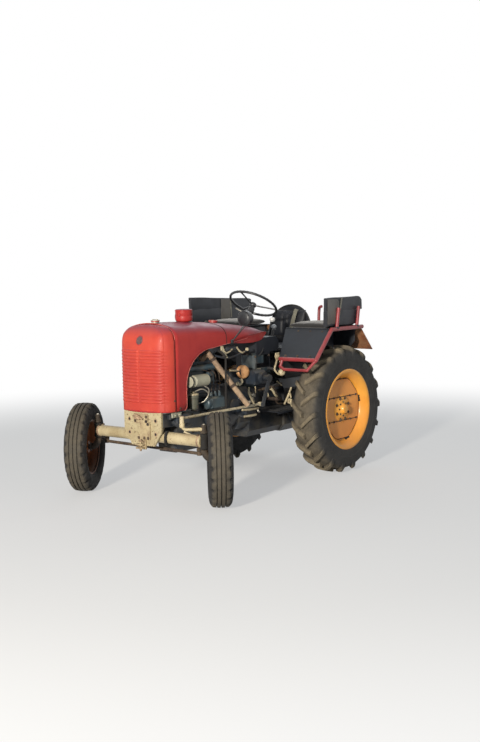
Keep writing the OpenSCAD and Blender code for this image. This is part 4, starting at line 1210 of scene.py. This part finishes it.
def round_cap(b):
    """Brass cap with its rod and the little pipe below it."""
    c = at(832, 236, 904)
    axis = Vector((0.55, 0.82, 0.12))
    b.use("engine")
    b.tube([(850, 150, 890), (842, 200, 898), c], [36, 38, 44], 24)
    b.use("brass")
    b.lathe(c, axis, [(40, -6), (52, 0), (55, 4), (55, 12), (51, 18), (40, 24), (24, 28), (1, 29.5)], 40)
    b.use("pale")
    b.tube([(1010, 246, 930), (960, 246, 926), (905, 246, 920)], [9, 8, 6], 12)
    b.tube([(860, 240, 850), (850, 244, 830), (858, 240, 812), (880, 236, 800)], [12, 10, 9, 8], 12)
    b.lathe((900, 240, 816), LEFT, [(15, -6), (15, 4), (9, 8), (1, 8.4)], 18)
    b.use("steel")
    b.tube([(905, 246, 920), (878, 214, 908)], 4, 8)


def pillar(b):
    """Dark pillar on brackets from the block and the bonnet."""
    # Pillar and brackets in the near-black painted-shade material
    b.use("painted_shade")
    b.tube([(1190, PILLAR_Y, 654), (1188, PILLAR_Y, 860), (1182, PILLAR_Y, 1064)], 8, 14)
    b.tube([(1190, PILLAR_Y, 668), (1190, 280, 640), (1190, 158, 626)], 11, 12)
    b.tube([(1182, PILLAR_Y, 1052), (1165, 300, 1082), (1150, 252, 1098)], 10, 12)


def clip_and_pipes(b):
    """Cream clip, pale pipes and a dark block under the bonnet's edge."""
    b.use("pale")
    b.plate([(x, 254, z) for x, z in ((1128, 1128), (1106, 1132), (1082, 1092), (1050, 1040), (1066, 1028),
            (1094, 1052), (1124, 1088))], LEFT, 9)
    b.tube([(1100, 258, 1100), (1070, 264, 1076), (1020, 262, 1084), (985, 256, 1098)], 6, 10)
    b.tube([(925, 256, 1110), (900, 262, 1080), (860, 262, 1062), (830, 256, 1066)], 7, 10)
    b.lathe((790, 258, 1084), LEFT, [(14, -10), (14, 4), (8, 8), (1, 8.2)], 16)
    b.use("engine")
    b.box((975, 215, 1100), (170, 70, 44), 10)
    b.tube([(1160, 220, 1060), (1020, 232, 1030), (900, 226, 1040), (760, 226, 1070)], 9, 10)


def slotted_housing(b):
    """Slotted housing beside the pedestal of the dash."""
    b.use("teal")
    b.box((562, 160, 900), (222, 140, 276), 16)
    b.box((600, 222, 985), (120, 24, 76), 8)
    b.box((545, 226, 858), (180, 14, 120), 6)
    # Slots as thin near-black boxes: painted shade
    b.use("painted_shade")
    for z in (828, 846, 864, 882):
        b.box((545, 233, z), (130, 3, 7), 1)
    b.use("steel")
    b.box((622, 236, 908), (66, 6, 9), 2)
    b.box((634, 236, 884), (52, 6, 8), 2)
    b.use("rust_dark")
    for x in (470, 654):
        for z in (790, 1010):
            b.bolt((x, 231, z), LEFT, 8, 7)


def apron_fittings(b):
    """Pale round fitting, cream bracket and clips under the apron's front corner."""
    b.use("pale")
    b.lathe((440, 338, 868), Vector((0.6, 0.75, 0.2)), [(18, -20), (25, -12), (29, 0), (27, 11), (19, 19),
            (8, 22), (1, 22.5)], 28)
    b.plate([(x, 300, z) for x, z in ((474, 1030), (430, 1034), (420, 1004), (444, 968), (470, 976),
            (482, 1004))], LEFT, 10)
    b.lathe((450, 312, 1004), LEFT, [(22, -4), (22, 3), (12, 6), (10, 12), (1, 12.3)], 24)
    b.tube([(452, 302, 976), (480, 306, 930), (500, 312, 896), (470, 322, 860), (440, 330, 850)], 8, 10)
    b.tube([(420, 304, 970), (408, 308, 930), (430, 316, 900)], 6, 10)
    b.use("black_matt")
    b.tube([(440, 338, 868), (446, 316, 880), (470, 260, 900), (500, 232, 905)], 12, 12)


def pedal_levers(b):
    """Brown pedal bar, curved pale levers and brake rods."""
    b.use("rust_dark")
    b.tube([(655, 300, 752), (590, 306, 756), (500, 304, 764), (390, 300, 772)], [7, 11, 12, 8], 12)
    b.tube([(520, 302, 760), (520, 240, 740), (520, 160, 720)], 10, 10)
    b.use("pale")
    b.tube([(764, 246, 772), (772, 250, 736), (748, 252, 690), (716, 250, 648), (690, 246, 612)],
            [7, 10, 9, 8, 9], 12)
    b.tube([(548, 304, 744), (520, 306, 724), (498, 306, 694), (470, 304, 672), (452, 300, 676)],
            [12, 11, 9, 9, 6], 12)
    b.tube([(304, 336, 730), (350, 336, 664), (402, 334, 600)], [9, 9, 8], 12)
    b.tube([(360, 356, 700), (340, 352, 676), (330, 350, 650)], 8, 10)
    b.lathe((352, 352, 622), Vector((0.5, 0.85, 0)), [(22, -7), (22, 7), (10, 7.5), (9, -6)], 24)
    b.tube([(338, 352, 604), (318, 352, 576), (312, 350, 552)], 8, 10)
    b.tube([(480, 318, 800), (440, 318, 774), (416, 318, 756)], 6, 8)
    b.use("steel")
    for x, z, r in ((662, 700, 12), (668, 664, 14), (640, 690, 10), (715, 640, 15), (700, 716, 9)):
        b.lathe((x, 206, z), LEFT, [(r * 1.2, -8), (r * 1.2, 6), (r * 0.8, 10), (1, 10.4)], 20)
    b.box((690, 214, 648), (70, 16, 22), 5)
    b.box((520, 206, 640), (22, 16, 64), 5)


def small_pipes(b):
    """Small pale pipes, their paleness a painted highlight in the bay."""
    b.use("pale")
    b.tube([(806, 246, 902), (770, 246, 900), (736, 244, 896)], 5, 8)
    b.tube([(668, 236, 770), (664, 236, 740), (667, 236, 712)], 5, 8)
    b.tube([(640, 238, 826), (600, 240, 822)], 4, 8)
    b.tube([(520, 238, 712), (500, 240, 690), (496, 238, 668)], 5, 8)


def rod_ends(b):
    """Pale rod ends by the drag link's rear."""
    b.use("pale")
    b.tube([(925, 300, 610), (850, 306, 604), (715, 300, 600)], [9, 9, 8], 12)
    b.tube([(902, 300, 556), (820, 302, 552), (748, 300, 552)], [8, 11, 9], 12)
    b.use("engine")
    b.box((800, 240, 580), (150, 110, 76), 14)
    b.use("steel")
    b.tube([(760, 330, 590), (722, 310, 575), (690, 290, 570)], 8, 10)


def cockpit_side():
    """The fittings in the open side between engine and dash."""
    b = Build("side_fittings", "brass", "chassis", "engine_paint")
    groups = (round_cap, pillar, clip_and_pipes, slotted_housing, apron_fittings, pedal_levers,
            small_pipes, rod_ends)
    for group in groups:
        group(b)
    b.done()


# Operator's place

# Steering wheel's hub, lean and radius, then places of the dash, lamps, power take-off and tow jaw
WHEEL_HUB = at(366, 0, 1430)
WHEEL_TILT = radians(32)
WHEEL_AXIS = Vector((-sin(WHEEL_TILT), 0, cos(WHEEL_TILT)))
WHEEL_R = 203
DASH = (470, 1188)
LAMP_Y = 350
LAMP_Z = 1340
PTO_Z = 560
JAW_X = -440


def steering_wheel():
    """Rim with finger grips, three spokes and the hub."""
    hub, t = WHEEL_HUB, WHEEL_AXIS
    b = Build("steering_wheel_rim", "black", "steering_wheel", "black_plastic")

    def outward(a):
        return Vector((cos(WHEEL_TILT), 0, sin(WHEEL_TILT))) * cos(a) + Vector((0, sin(a), 0))

    rings = []
    for a in around(120):
        grip = 10.2 + 0.7 * cos(a * 36)
        rings.append([hub + outward(a) * (WHEEL_R + grip * cos(q)) / 1000 + t * (grip * 1.06 * sin(q)) / 1000
                for q in around(12)])
    b.rings(rings, True, False, True)
    for a in around(3):
        out = outward(a)
        b.tube([hub + out * 0.016 - t * 0.010, hub + out * 0.06 - t * 0.011, hub + out * 0.12 - t * 0.006,
                hub + out * 0.2], [7.5, 6.6, 6, 7], 12)
    b.lathe(hub, t, [(16, -28), (27, -26), (30, -20), (30, -6), (26, 2), (20, 6), (12, 7)], 32)
    b.use("steel")
    b.lathe(hub, t, [(13, 5), (13, 9), (9, 12), (1, 12.4)], 6)
    b.done(["steering_wheel"])


def column():
    """Collars of the column, gauges, knobs, gear lever, throttle and the panel's wires."""
    hub, t = WHEEL_HUB, WHEEL_AXIS
    b = Build("column_fittings", "black", "chassis", "black_plastic")
    low = hub - t * 0.33
    b.lathe(low, t, [(30, 60), (32, 66), (32, 96), (24, 104), (22.6, 110)], 28, False)
    b.lathe(low, t, [(22.5, 240), (27, 244), (27, 280), (24, 290), (22.4, 296)], 28, False)
    # Gauges on the dash behind the wheel
    for y, r in ((-62, 34), (0, 40), (62, 34)):
        face, out = at(DASH[0] + 36, y, DASH[1] + 3), (-0.35, 0, 1)
        b.use("black")
        b.lathe(face, out, [(r, -6), (r + 4, 0), (r + 4, 7), (r, 9), (r - 3, 6)], 32)
        b.use("pale")
        b.lathe(face, out, [(r - 3, 5.4), (1, 5.6)], 32, False)
        b.use("black_matt")
        b.box(face + Vector((-0.004, 0, 0.007)), (r * 0.9, 2.4, 1.6), 0.5)
    b.use("white")
    for x, y, z in ((240, 104, 1290), (262, 134, 1230)):
        b.lathe((x, y, z), UP, [(9, -21), (16, -17), (22, -7), (24, 2), (21, 13), (12, 20), (1, 22)], 28)
    # Gear lever and its gaiter
    b.use("black_matt")
    b.lathe((300, 0, 744), UP, [(62, 17), (60, 30), (48, 40), (50, 46), (36, 56), (37, 62), (22, 72),
            (10, 78)], 28)
    b.use("black")
    b.tube([(300, 0, 810), (292, 6, 930), (262, 14, 1010), (250, 18, 1062)], [8, 7, 7, 7], 12)
    b.lathe((249, 18, 1066), (-0.2, 0, 1), [(9, -8), (16, -2), (19, 8), (17, 18), (9, 25), (1, 26)], 24)
    # Throttle lever on the column and two wires from the panel
    b.use("steel")
    b.tube([hub - t * 0.09, hub - t * 0.088 + Vector((0.02, -0.07, 0.01)),
            hub - t * 0.08 + Vector((0.03, -0.13, 0.03))], [5, 4.5, 4.5], 10)
    b.use("black_matt")
    b.tube([(DASH[0], 60, DASH[1]), (500, 130, 1165), (520, 200, 1120), (560, 238, 1060),
            (620, 236, 1010)], 5, 8)
    b.tube([(DASH[0], -60, DASH[1]), (520, -150, 1150), (560, -236, 1090), (640, -232, 1000)], 5, 8)
    b.done()


def lamps():
    """Two small black lamps on bent stalks from the bonnet's sides."""
    for s, x, foot_x in ((1, 908, 986), (-1, 862, 940)):
        b = Build("headlamp_" + SIDE_NAMES[s], "black", "chassis", "black_plastic")
        c = at(x, s * LAMP_Y, LAMP_Z)
        b.lathe(c, AHEAD, [(1, -50), (14, -48.6), (30, -42), (43, -31), (52, -17), (57, -2), (59, 14),
                (59.6, 28), (61.6, 30), (62.6, 35), (62, 41), (58, 45), (54.5, 44)], 48)
        b.use("glass")
        b.lathe(c, AHEAD, [(55, 43), (50, 47), (36, 51), (18, 53), (1, 53.4)], 48, False)
        b.use("black")
        b.lathe(c + Vector((0, 0, 0.056)), UP, [(13, -4), (12, 4), (7, 7), (1, 7.4)], 20)
        foot = at(foot_x, s * 262, 1160)
        neck = c + Vector((0.045, -s * 0.012, -0.072))
        b.tube([c + Vector((0.028, 0, -0.042)), neck, neck.lerp(foot, 0.5),
                foot + Vector((0, s * 0.004, 0.01))], [11, 6, 5, 5], 14)
        b.box(foot + Vector((0, -s * 0.004, 0)), (28, 14, 30), 4)
        b.use("black_matt")
        b.tube([c + Vector((-0.02, -s * 0.01, -0.05)), neck + Vector((-0.012, 0, -0.01)),
                neck.lerp(foot, 0.6) + Vector((-0.012, 0, 0)), (foot_x - 12, s * 256, 1150)], 2, 8)
        b.bolt((foot_x, s * 266, 1152), (0, s, 0), 6, 4)
        b.done(["headlamps"] if s > 0 else ())


# Padded pieces

PAD_STEPS = 40
PAD_SOFT = 0.26
BENCH_Y = 685
# A wrapped board's section: millimetres across, share of its height
BOARD_SECTION = ((-14, 0), (-16, 0.06), (-15, 0.5), (-16, 0.94), (-12, 0.99), (0, 1.0), (11, 0.985),
        (14, 0.93), (13, 0.5), (15, 0.05), (12, 0), (0, -0.01))


def pad_surface(size, crown, pinch, seed, channels):
    """A crowned pad's top and underside over u and v from -1 to 1, in millimetres: x deep, y wide."""
    width, depth, height = size

    def pad_point(u, v, top):
        x = depth / 2 * u * (1 - pinch * 0.5 * (1 - abs(v) ** 2) * abs(u) ** 3)
        y = width / 2 * v * (1 - pinch * 0.5 * (1 - abs(u) ** 2) * abs(v) ** 3)
        edge = (1 - abs(u) ** 6) * (1 - abs(v) ** 6)
        swell = crown * (1 - u * u) ** 0.7 * (1 - v * v) ** 0.7
        for c in channels:
            swell -= crown * 0.75 * exp(-((v - c) / 0.035) ** 2)
        wave = noise.noise(Vector((u * 2.2 + seed, v * 2.4, seed * 1.7))) * 3.2
        wave += noise.noise(Vector((u * 7 + seed, v * 7, 3))) * 1.1
        if not top:
            return Vector((x, y, height * 0.5 - height * 0.5 * edge ** PAD_SOFT))
        z = height * 0.5 + height * 0.5 * edge ** PAD_SOFT
        return Vector((x, y, z + (swell + wave) * edge ** 0.5))

    return pad_point


def pad(name, mat, slot, place, size, crown, pinch, seed, channels, turn=None, replaces=()):
    """One stuffed pad: crowned top, flat underside, sides that pull in, and a piped seam round the middle."""
    b = Build(name, mat, "chassis", slot)
    surface = pad_surface(size, crown, pinch, seed, channels)
    turn = turn or Matrix.Identity(3)

    def point(u, v, top=True):
        return place + turn @ (surface(u, v, top) / 1000)

    steps = [-1.0] + [sin(pi / 2 * (2 * i / PAD_STEPS - 1)) for i in range(1, PAD_STEPS)] + [1.0]
    for top in (True, False):
        line = [[point(u, v, top) for v in steps] for u in steps]
        b.rings(line if top else [row[::-1] for row in line], False, False)
    b.use("black_matt")
    edge = [(-1, v) for v in steps] + [(u, 1) for u in steps[1:]]
    edge += [(1, v) for v in steps[-2::-1]] + [(u, -1) for u in steps[-2::-1]]
    b.tube([point(u, v) for u, v in edge], 3.2, 6, 0)
    obj = b.done(replaces, 60)
    weld = obj.modifiers.new("weld", "WELD")
    weld.merge_threshold = 0.0002


def driver_seat():
    """Driver's seat: shell, edge, pan, spring, cushion and back pad."""
    b = Build("seat_shell", "seat", "chassis", "seat_cover")
    rings = []
    foot_z = 1004
    # Arch seen from the front, swept round the back and down both sides
    for k in range(25):
        a = pi * k / 24
        top_z = 1190 + 206 * sin(a) if 0 < k < 24 else 1190
        wrap = 46 * abs(cos(a)) ** 3
        ring = []
        for h in (j / 8 for j in range(9)):
            x = wrap * (1.15 - 0.55 * h) - 18 * h * h - 170
            ring.append(at(x, -220 * cos(a) * (1 - 0.06 * (1 - h)), foot_z + (top_z - foot_z) * h))
        rings.append(ring)
    b.rings(rings, False, False)
    b.done(["driver_seat"], 60, thick=5, subdiv=1)
    b = Build("seat_edge", "black_matt", "chassis", "black_plastic")
    b.tube([ring[-1] for ring in rings], 7, 10, 0)
    # Pan under the cushion
    b.plate([(x, y, 1001) for x, y in ((-165, -196), (150, -205), (196, -170), (204, 0), (196, 170),
            (150, 205), (-165, 196))], UP, 8, 4)
    for s in (1, -1):
        b.tube([(-168, s * 203, 1180), (-120, s * 209, 1168), (-60, s * 210, 1120), (10, s * 210, 1070),
                (70, s * 210, 1040), (150, s * 206, 1012)], 7, 10)
    b.use("rust_dark")
    for x in (-120, -90):
        for s in (1, -1):
            b.bolt((x, s * 41, 860), (0, s, 0), 9, 7)
    b.use("steel")
    spring = [at(-10 + 30 * cos(q), 30 * sin(q), 905 + 90 * q / (2 * pi * 5))
            for q in (2 * pi * k / 12 for k in range(61))]
    b.tube(spring, 5, 8, 0)
    b.done()
    pad("seat_cushion", "seat", "seat_cover", at(22, 0, 1009), (392, 352, 46), crown=20, pinch=0.06,
            seed=3, channels=(-0.42, 0, 0.42))
    back_turn = Matrix.Rotation(radians(83), 3, "Y")
    pad("seat_back_pad", "seat", "seat_cover", at(-168, 0, 1235), (330, 230, 30), crown=16, pinch=0.08,
            turn=back_turn, seed=5, channels=(-0.4, 0, 0.4))


def seat_strap():
    """Pale strap over the seat's left side."""
    b = Build("seat_strap", "strap", "chassis", "cushion_cover")
    line = [at(-128, 100, 1362), at(-112, 96, 1347), at(-106, 88, 1310), at(-102, 80, 1280),
            at(-98, 68, 1232), at(-92, 58, 1190), at(-86, 50, 1140), at(-78, 44, 1092)]
    line, _ = curve_through(line, [1] * len(line), 6)
    rings = []
    for k, p in enumerate(line):
        d = (line[min(k + 1, len(line) - 1)] - line[max(k - 1, 0)]).normalized()
        wide = d.cross(Vector((1, 0, 0))).normalized() * 0.019
        thin = Vector((0.0016, 0, 0))
        rings.append([p - wide - thin, p + wide - thin, p + wide + thin, p - wide + thin])
    b.rings(rings)
    b.done()


def fender_cushions():
    """The two flat cushions on the fenders' decks."""
    for s in (1, -1):
        pad("fender_cushion_" + SIDE_NAMES[s], "cushion", "cushion_cover", at(32.5, s * 472.5, 1222.5),
                (362, 422, 46), crown=9, pinch=0.05, seed=7 + s, channels=(-0.33, 0.33),
                replaces=("fender_cushions",) if s > 0 else ())


def bench_backs():
    """Wrapped boards behind the benches, with a lighter grey patch of painted light and a pale strap each."""
    # Each block from x0 to x1 and z0 to z1, then how far its rear end is rounded
    blocks = ((1, ((-232, 300, 1366, 1478, 26), (-158, 304, 1247, 1372, 4))),
            (-1, ((-470, 392, 1366, 1478, 8), (-452, 388, 1247, 1372, 4))))
    for s, parts in blocks:
        b = Build("bench_back_" + SIDE_NAMES[s], "board", "chassis", "board")
        for x0, x1, z0, z1, wrap in parts:
            rings = []
            upper = z1 > 1400
            grow = 0 if upper else -2.5
            for i in range(37):
                x = x0 + (x1 - x0) * i / 36
                sag = 5 * sin(i * 0.288) + 3 * sin(i * 0.47)
                near = min(1, max(0.0, (x - x0) / 60))
                drop = (1 - sqrt(max(0, 1 - (1 - near) ** 2))) * wrap
                fall = (330 - x) * 0.045 if s < 0 and upper else 0
                ring = []
                for y, z in BOARD_SECTION:
                    zz = z0 + (z1 - drop - fall - z0) * z + sag * (0.4 if z < 0.1 else 0.2)
                    yy = BENCH_Y + y + copysign(grow, y) + 1.5 * sin(i * 0.64 + z * 4)
                    ring.append(at(x, s * yy, zz))
                rings.append(ring if s > 0 else list(reversed(ring)))
            b.rings(rings)
        # Lighter grey patch: painted light
        b.use("board_painted_light")
        if s > 0:
            worn = [at(x, s * 701.2, z) for x, z in ((294, 1262), (290, 1466), (150, 1464), (118, 1440),
                    (112, 1262))]
            b.plate(list(reversed(worn)), (0, s, 0), 2, 1)
            b.use("strap")
            b.plate([(x, s * 702.8, z) for x, z in ((92, 1474), (72, 1474), (108, 1330), (126, 1330))],
                    (0, s, 0), 2, 1)
        else:
            inner = [at(x, s * 667.5, z) for x, z in ((-20, 1270), (-20, 1452), (-150, 1448), (-150, 1270))]
            b.plate(inner, (0, -s, 0), 2, 1)
            b.use("strap")
            b.plate([(x, s * 666, z) for x, z in ((-150, 1450), (-162, 1450), (-174, 1280), (-160, 1280))],
                    (0, -s, 0), 2, 1)
        b.use("rust_dark")
        for x in (158, -150):
            for z in (1345, 1380):
                b.bolt((x, s * 716, z), (0, s, 0), 6, 5)
        b.done(("bench_backs",) if s > 0 else ())


def fender_trim():
    """Inner walls, beads, bolts, tail lamps and post of the fenders."""
    b = Build("fender_fittings", "slate", "chassis", "slate_paint")
    for s in (1, -1):
        # Dark inner wall and ribs under the deck
        b.use("board")
        b.plate([(x, s * 300, z) for x, z in ((410, 1010), (250, 1200), (-200, 1204), (-200, 828), (130, 828),
                (300, 940))], (0, s, 0), 3, 1)
        b.use("slate")
        for y in (330, 560):
            b.box((30, s * y, 1210), (440, 24, 14), 3)
        # Edge beads, bolts, and a pale tube on the cushion's front corner, a painted highlight
        b.tube([(480, s * 360, 1003), (480, s * 696, 1003)], 5, 8)
        b.tube([(262, s * 266, 1224), (262, s * 696, 1224)], 5, 8)
        b.use("rust_dark")
        for y in (400, 520, 640):
            b.bolt((470, s * y, 1013), Vector((0.7, 0, 0.7)), 7, 5)
            b.bolt((280, s * y, 1202), Vector((0.7, 0, 0.7)), 6, 4)
        b.use("strap")
        b.tube([(226, s * 628, 1262), (232, s * 648, 1256), (222, s * 656, 1240)], 8, 10)
        # Tail lamp and reflector at the deck's rear
        b.use("black_matt")
        b.lathe((-212, s * 600, 1196), BACK, [(30, 2), (34, 6), (34, 30), (30, 34)], 28)
        b.use("amber")
        b.lathe((-212, s * 600, 1196), BACK, [(29, 33), (27, 40), (16, 45), (1, 46)], 28, False)
        # Red post at the left deck's inner rear corner
        b.use("rail")
        if s > 0:
            b.tube([(-192, 284, 1220), (-194, 286, 1310), (-197, 288, 1362), (-190, 300, 1380),
                    (-184, 322, 1386)], 13, 14)
            b.lathe((-192, 284, 1222), UP, [(20, 0), (20, 6), (15, 9)], 20)
        # Rear wall, a dark sheet of painted shadow over the flap's inner part, and the feet of the outer
        # posts
        b.use("board")
        b.plate([(-212, s * y, z) for y, z in ((300, 1204), (640, 1204), (640, 1100), (600, 1052),
                (300, 1052))], BACK, 3, 1)
        for x in (187, -119):
            b.lathe((x, s * 717.5, 1228), Vector((-0.19, 0, 1)), [(17, -6), (21, -4), (21, 6), (16, 10)], 20)
    b.done()


def floor_fittings():
    """Ribbed mats, pedal pads, lower links, and fittings of the drawbar and the power take-off."""
    b = Build("footplate_mats", "black_matt", "chassis", "black_plastic")
    for s in (1, -1):
        b.use("black_matt")
        b.box((400, s * 288, 569), (400, 250, 5), 2)
        for k in range(13):
            b.box((222 + 30 * k, s * 288, 572.5), (10, 236, 3), 1)
        b.box((515, s * 305, 771), (94, 76, 7), 2.5)
        for k in range(4):
            b.box((482 + 22 * k, s * 305, 776), (7, 68, 4), 1)
        b.use("rust_dark")
        b.tube([(420, s * 150, 640), (420, s * 310, 640)], 15, 16)
        b.tube([(420, s * 250, 640), (380, s * 250, 600), (300, s * 250, 590), (120, s * 250, 600),
                (40, s * 262, 620)], 7, 10)
    b.use("rust_dark")
    b.lathe((JAW_X, 0, 405), UP, [(20, 0), (26, 2), (26, 7), (14, 9)], 24, False)
    b.tube([(JAW_X, 0, 372), (JAW_X, 0, 440)], 12, 16)
    b.tube([(JAW_X, 0, 440), (JAW_X - 12, 22, 452), (JAW_X, 40, 446), (JAW_X + 12, 22, 436)], 4, 8)
    b.use("engine")
    b.lathe((-210, 0, PTO_Z), BACK, [(66, 0), (66, 10), (56, 14), (40, 16), (34, 20)], 32)
    b.use("rust_dark")
    for t in around(6):
        b.bolt((-221, 56 * sin(t), PTO_Z + 56 * cos(t)), BACK, 7, 6)
    b.use("engine")
    for s in (1, -1):
        b.box((-225, s * 110, 470), (40, 26, 90), 6)
        b.tube([(-235, s * 110, 450), (-330, s * 180, 440), (-470, s * 230, 452)], [12, 11, 11], 12)
        b.lathe((-480, s * 234, 453), LEFT, [(14, -14), (24, -12), (24, 12), (14, 14)], 20)
        b.tube([(-200, s * 118, 750), (-300, s * 190, 700), (-400, s * 214, 470)], [10, 9, 9], 10)
    b.use("steel")
    b.lathe((-300, 0, PTO_Z), BACK, [(17.4, -44), (17.4, 0), (15, 2), (1, 2.2)], 18)
    b.done()


def exhaust_trim():
    """Two clamps and the open end of the exhaust pipe."""
    b = Build("exhaust_clamps", "rust_dark", "chassis", "rust")
    p0, p1 = Vector(EXHAUST_TOP), Vector(EXHAUST_END)
    d = (p1 - p0).normalized()
    for f in (0.12, 0.62):
        c = p0 + (p1 - p0) * f
        b.use("rust_dark")
        b.lathe(at(*c), d, [(21.2, -12), (24, -10), (24, 10), (21.2, 12)], 28, False)
        b.bolt((c.x, c.y + 22, c.z + 12), Vector((0, 0.8, 0.5)), 6, 10)
    b.use("rust")
    b.lathe(at(*p1), d, [(21.3, -10), (22.6, -6), (22.6, 0.5), (18, 0.8), (17.6, -8)], 28, False)
    b.done()


# Camera, floor and light

def add_camera():
    """The photograph's camera."""
    yaw, pitch, roll = (radians(a) for a in (CAM_YAW, CAM_PITCH, CAM_ROLL))
    ahead = Vector((cos(yaw) * cos(pitch), sin(yaw) * cos(pitch), -sin(pitch)))
    right = Vector((sin(yaw), -cos(yaw), 0))
    up = right.cross(ahead)
    x = right * cos(roll) + up * sin(roll)
    y = up * cos(roll) - right * sin(roll)
    data = bpy.data.cameras.new("camera")
    data.sensor_width = SENSOR_MM
    data.lens = FOCAL_PX / IMAGE_H * SENSOR_MM
    data.clip_start = 0.05
    camera = bpy.data.objects.new("camera", data)
    turn = Matrix((x, y, -ahead)).transposed().to_4x4()
    camera.matrix_world = Matrix.Translation(CAM_PLACE) @ turn
    bpy.context.collection.objects.link(camera)
    bpy.context.scene.camera = camera


def seen_white(nt, shader, white, share=None):
    """Mixes to white where the camera, a reflection or glass sees the surface, by a share if one is given."""
    path = nt.nodes.new("ShaderNodeLightPath")
    total = None
    for key in ("Is Camera Ray", "Is Glossy Ray", "Is Transmission Ray"):
        if total is None:
            total = path.outputs[key]
        else:
            add = nt.nodes.new("ShaderNodeMath")
            add.use_clamp = True
            nt.links.new(total, add.inputs[0])
            nt.links.new(path.outputs[key], add.inputs[1])
            total = add.outputs[0]
    if share is not None:
        part = nt.nodes.new("ShaderNodeMath")
        part.operation = "MULTIPLY"
        nt.links.new(total, part.inputs[0])
        nt.links.new(share, part.inputs[1])
        total = part.outputs[0]
    mix = nt.nodes.new("ShaderNodeMixShader")
    nt.links.new(total, mix.inputs["Fac"])
    nt.links.new(shader, mix.inputs[1])
    nt.links.new(white, mix.inputs[2])
    return mix.outputs[0]


def add_floor():
    """A pale floor that fades to white away from the object and keeps its shadow."""
    bpy.ops.mesh.primitive_plane_add(size=80)
    floor = bpy.context.object
    floor.name = "floor"
    s = Shader("floor", 0.95, spec=0.1)
    far = s.step(s.length(s.place), 3.2, 7.5, 0.45, 1.0)
    s.bsdf.inputs["Base Color"].default_value = (0.62, 0.62, 0.61, 1)
    white = s.nt.nodes.new("ShaderNodeEmission")
    white.inputs["Strength"].default_value = 1.0
    out = seen_white(s.nt, s.bsdf.outputs[0], white.outputs[0], far)
    s.nt.links.new(out, s.nt.nodes["Material Output"].inputs["Surface"])
    floor.data.materials.append(s.mat)


def add_light(name, place, target, size, power, tint=(1, 1, 1)):
    """A round area lamp that faces its target."""
    data = bpy.data.lights.new(name, "AREA")
    data.shape = "DISK"
    data.size = size
    data.energy = power
    data.color = tint
    lamp = bpy.data.objects.new(name, data)
    lamp.location = place
    lamp.rotation_euler = (Vector(target) - Vector(place)).to_track_quat("-Z", "Y").to_euler()
    bpy.context.collection.objects.link(lamp)


def add_world():
    """Dim bluish light from all round, seen as white."""
    world = bpy.data.worlds.new("studio")
    bpy.context.scene.world = world
    world.use_nodes = True
    nt = world.node_tree
    back = nt.nodes["Background"]
    back.inputs["Color"].default_value = (0.76, 0.88, 1.0, 1)
    back.inputs["Strength"].default_value = 0.22
    white = nt.nodes.new("ShaderNodeBackground")
    white.inputs["Color"].default_value = (1, 1, 1, 1)
    white.inputs["Strength"].default_value = 1.0
    nt.links.new(seen_white(nt, back.outputs[0], white.outputs[0]),
            nt.nodes["World Output"].inputs["Surface"])


add_camera()
add_floor()
add_world()
add_light("key", (11.0, 3.8, 3.3), (0.2, 0, 0.6), 1.0, 1720, (1.0, 0.93, 0.83))
add_light("fill", (2.0, 9.0, 4.5), (0, 0, 0.6), 6.0, 40, (0.82, 0.9, 1.0))
add_light("back", (-6.0, -4.0, 6.0), (0, 0, 0.8), 6.0, 110, (0.9, 0.95, 1.0))
bpy.context.scene.view_settings.view_transform = "Standard"

NODE_MATERIALS = {
    "engine": "engine gearbox rear_axle steering_box drop_arm",
    "teal": "cylinder_head",
    "black_matt": "seat_bracket",
    "cream": "bolster front_axle knuckle_left knuckle_right",
    "red": "nose grille bonnet pre_cleaner",
    # Filler caps in the shaded copy of the red: painted shade
    "red_dark": "filler_caps",
    "rust": "exhaust_pipe",
    "rust_dark": "pedals drawbar track_rod",
    "jaw": "tow_jaw",
    "grey": "dynamo",
    "grey_green": "fuel_pump",
    "board": "dashboard bench_backs",
    "slate": "footplates fenders",
    "black": "steering_column headlamps steering_wheel hand_levers",
    "steel": "pto_shaft",
    "pale": "drag_link",
    "seat": "driver_seat",
    "rail": "fender_rails",
    "cushion": "fender_cushions",
    "rust_orange": "rear_flaps",
}
for mat, nodes in NODE_MATERIALS.items():
    for node in nodes.split():
        dress(node, mat)

for side in (1, -1):
    rear_tyre(side)
    rear_rim(side)
    front_tyre(side)
    front_rim(side)
nose_shell()
bonnet()
hood_trim()
caps()
front_axle()
knuckle(1)
knuckle(-1)
bolster()
bolster_trim()
engine_left()
fan_and_belt()
cockpit_side()
steering_wheel()
column()
lamps()
driver_seat()
seat_strap()
fender_cushions()
bench_backs()
fender_trim()
floor_fittings()
exhaust_trim()
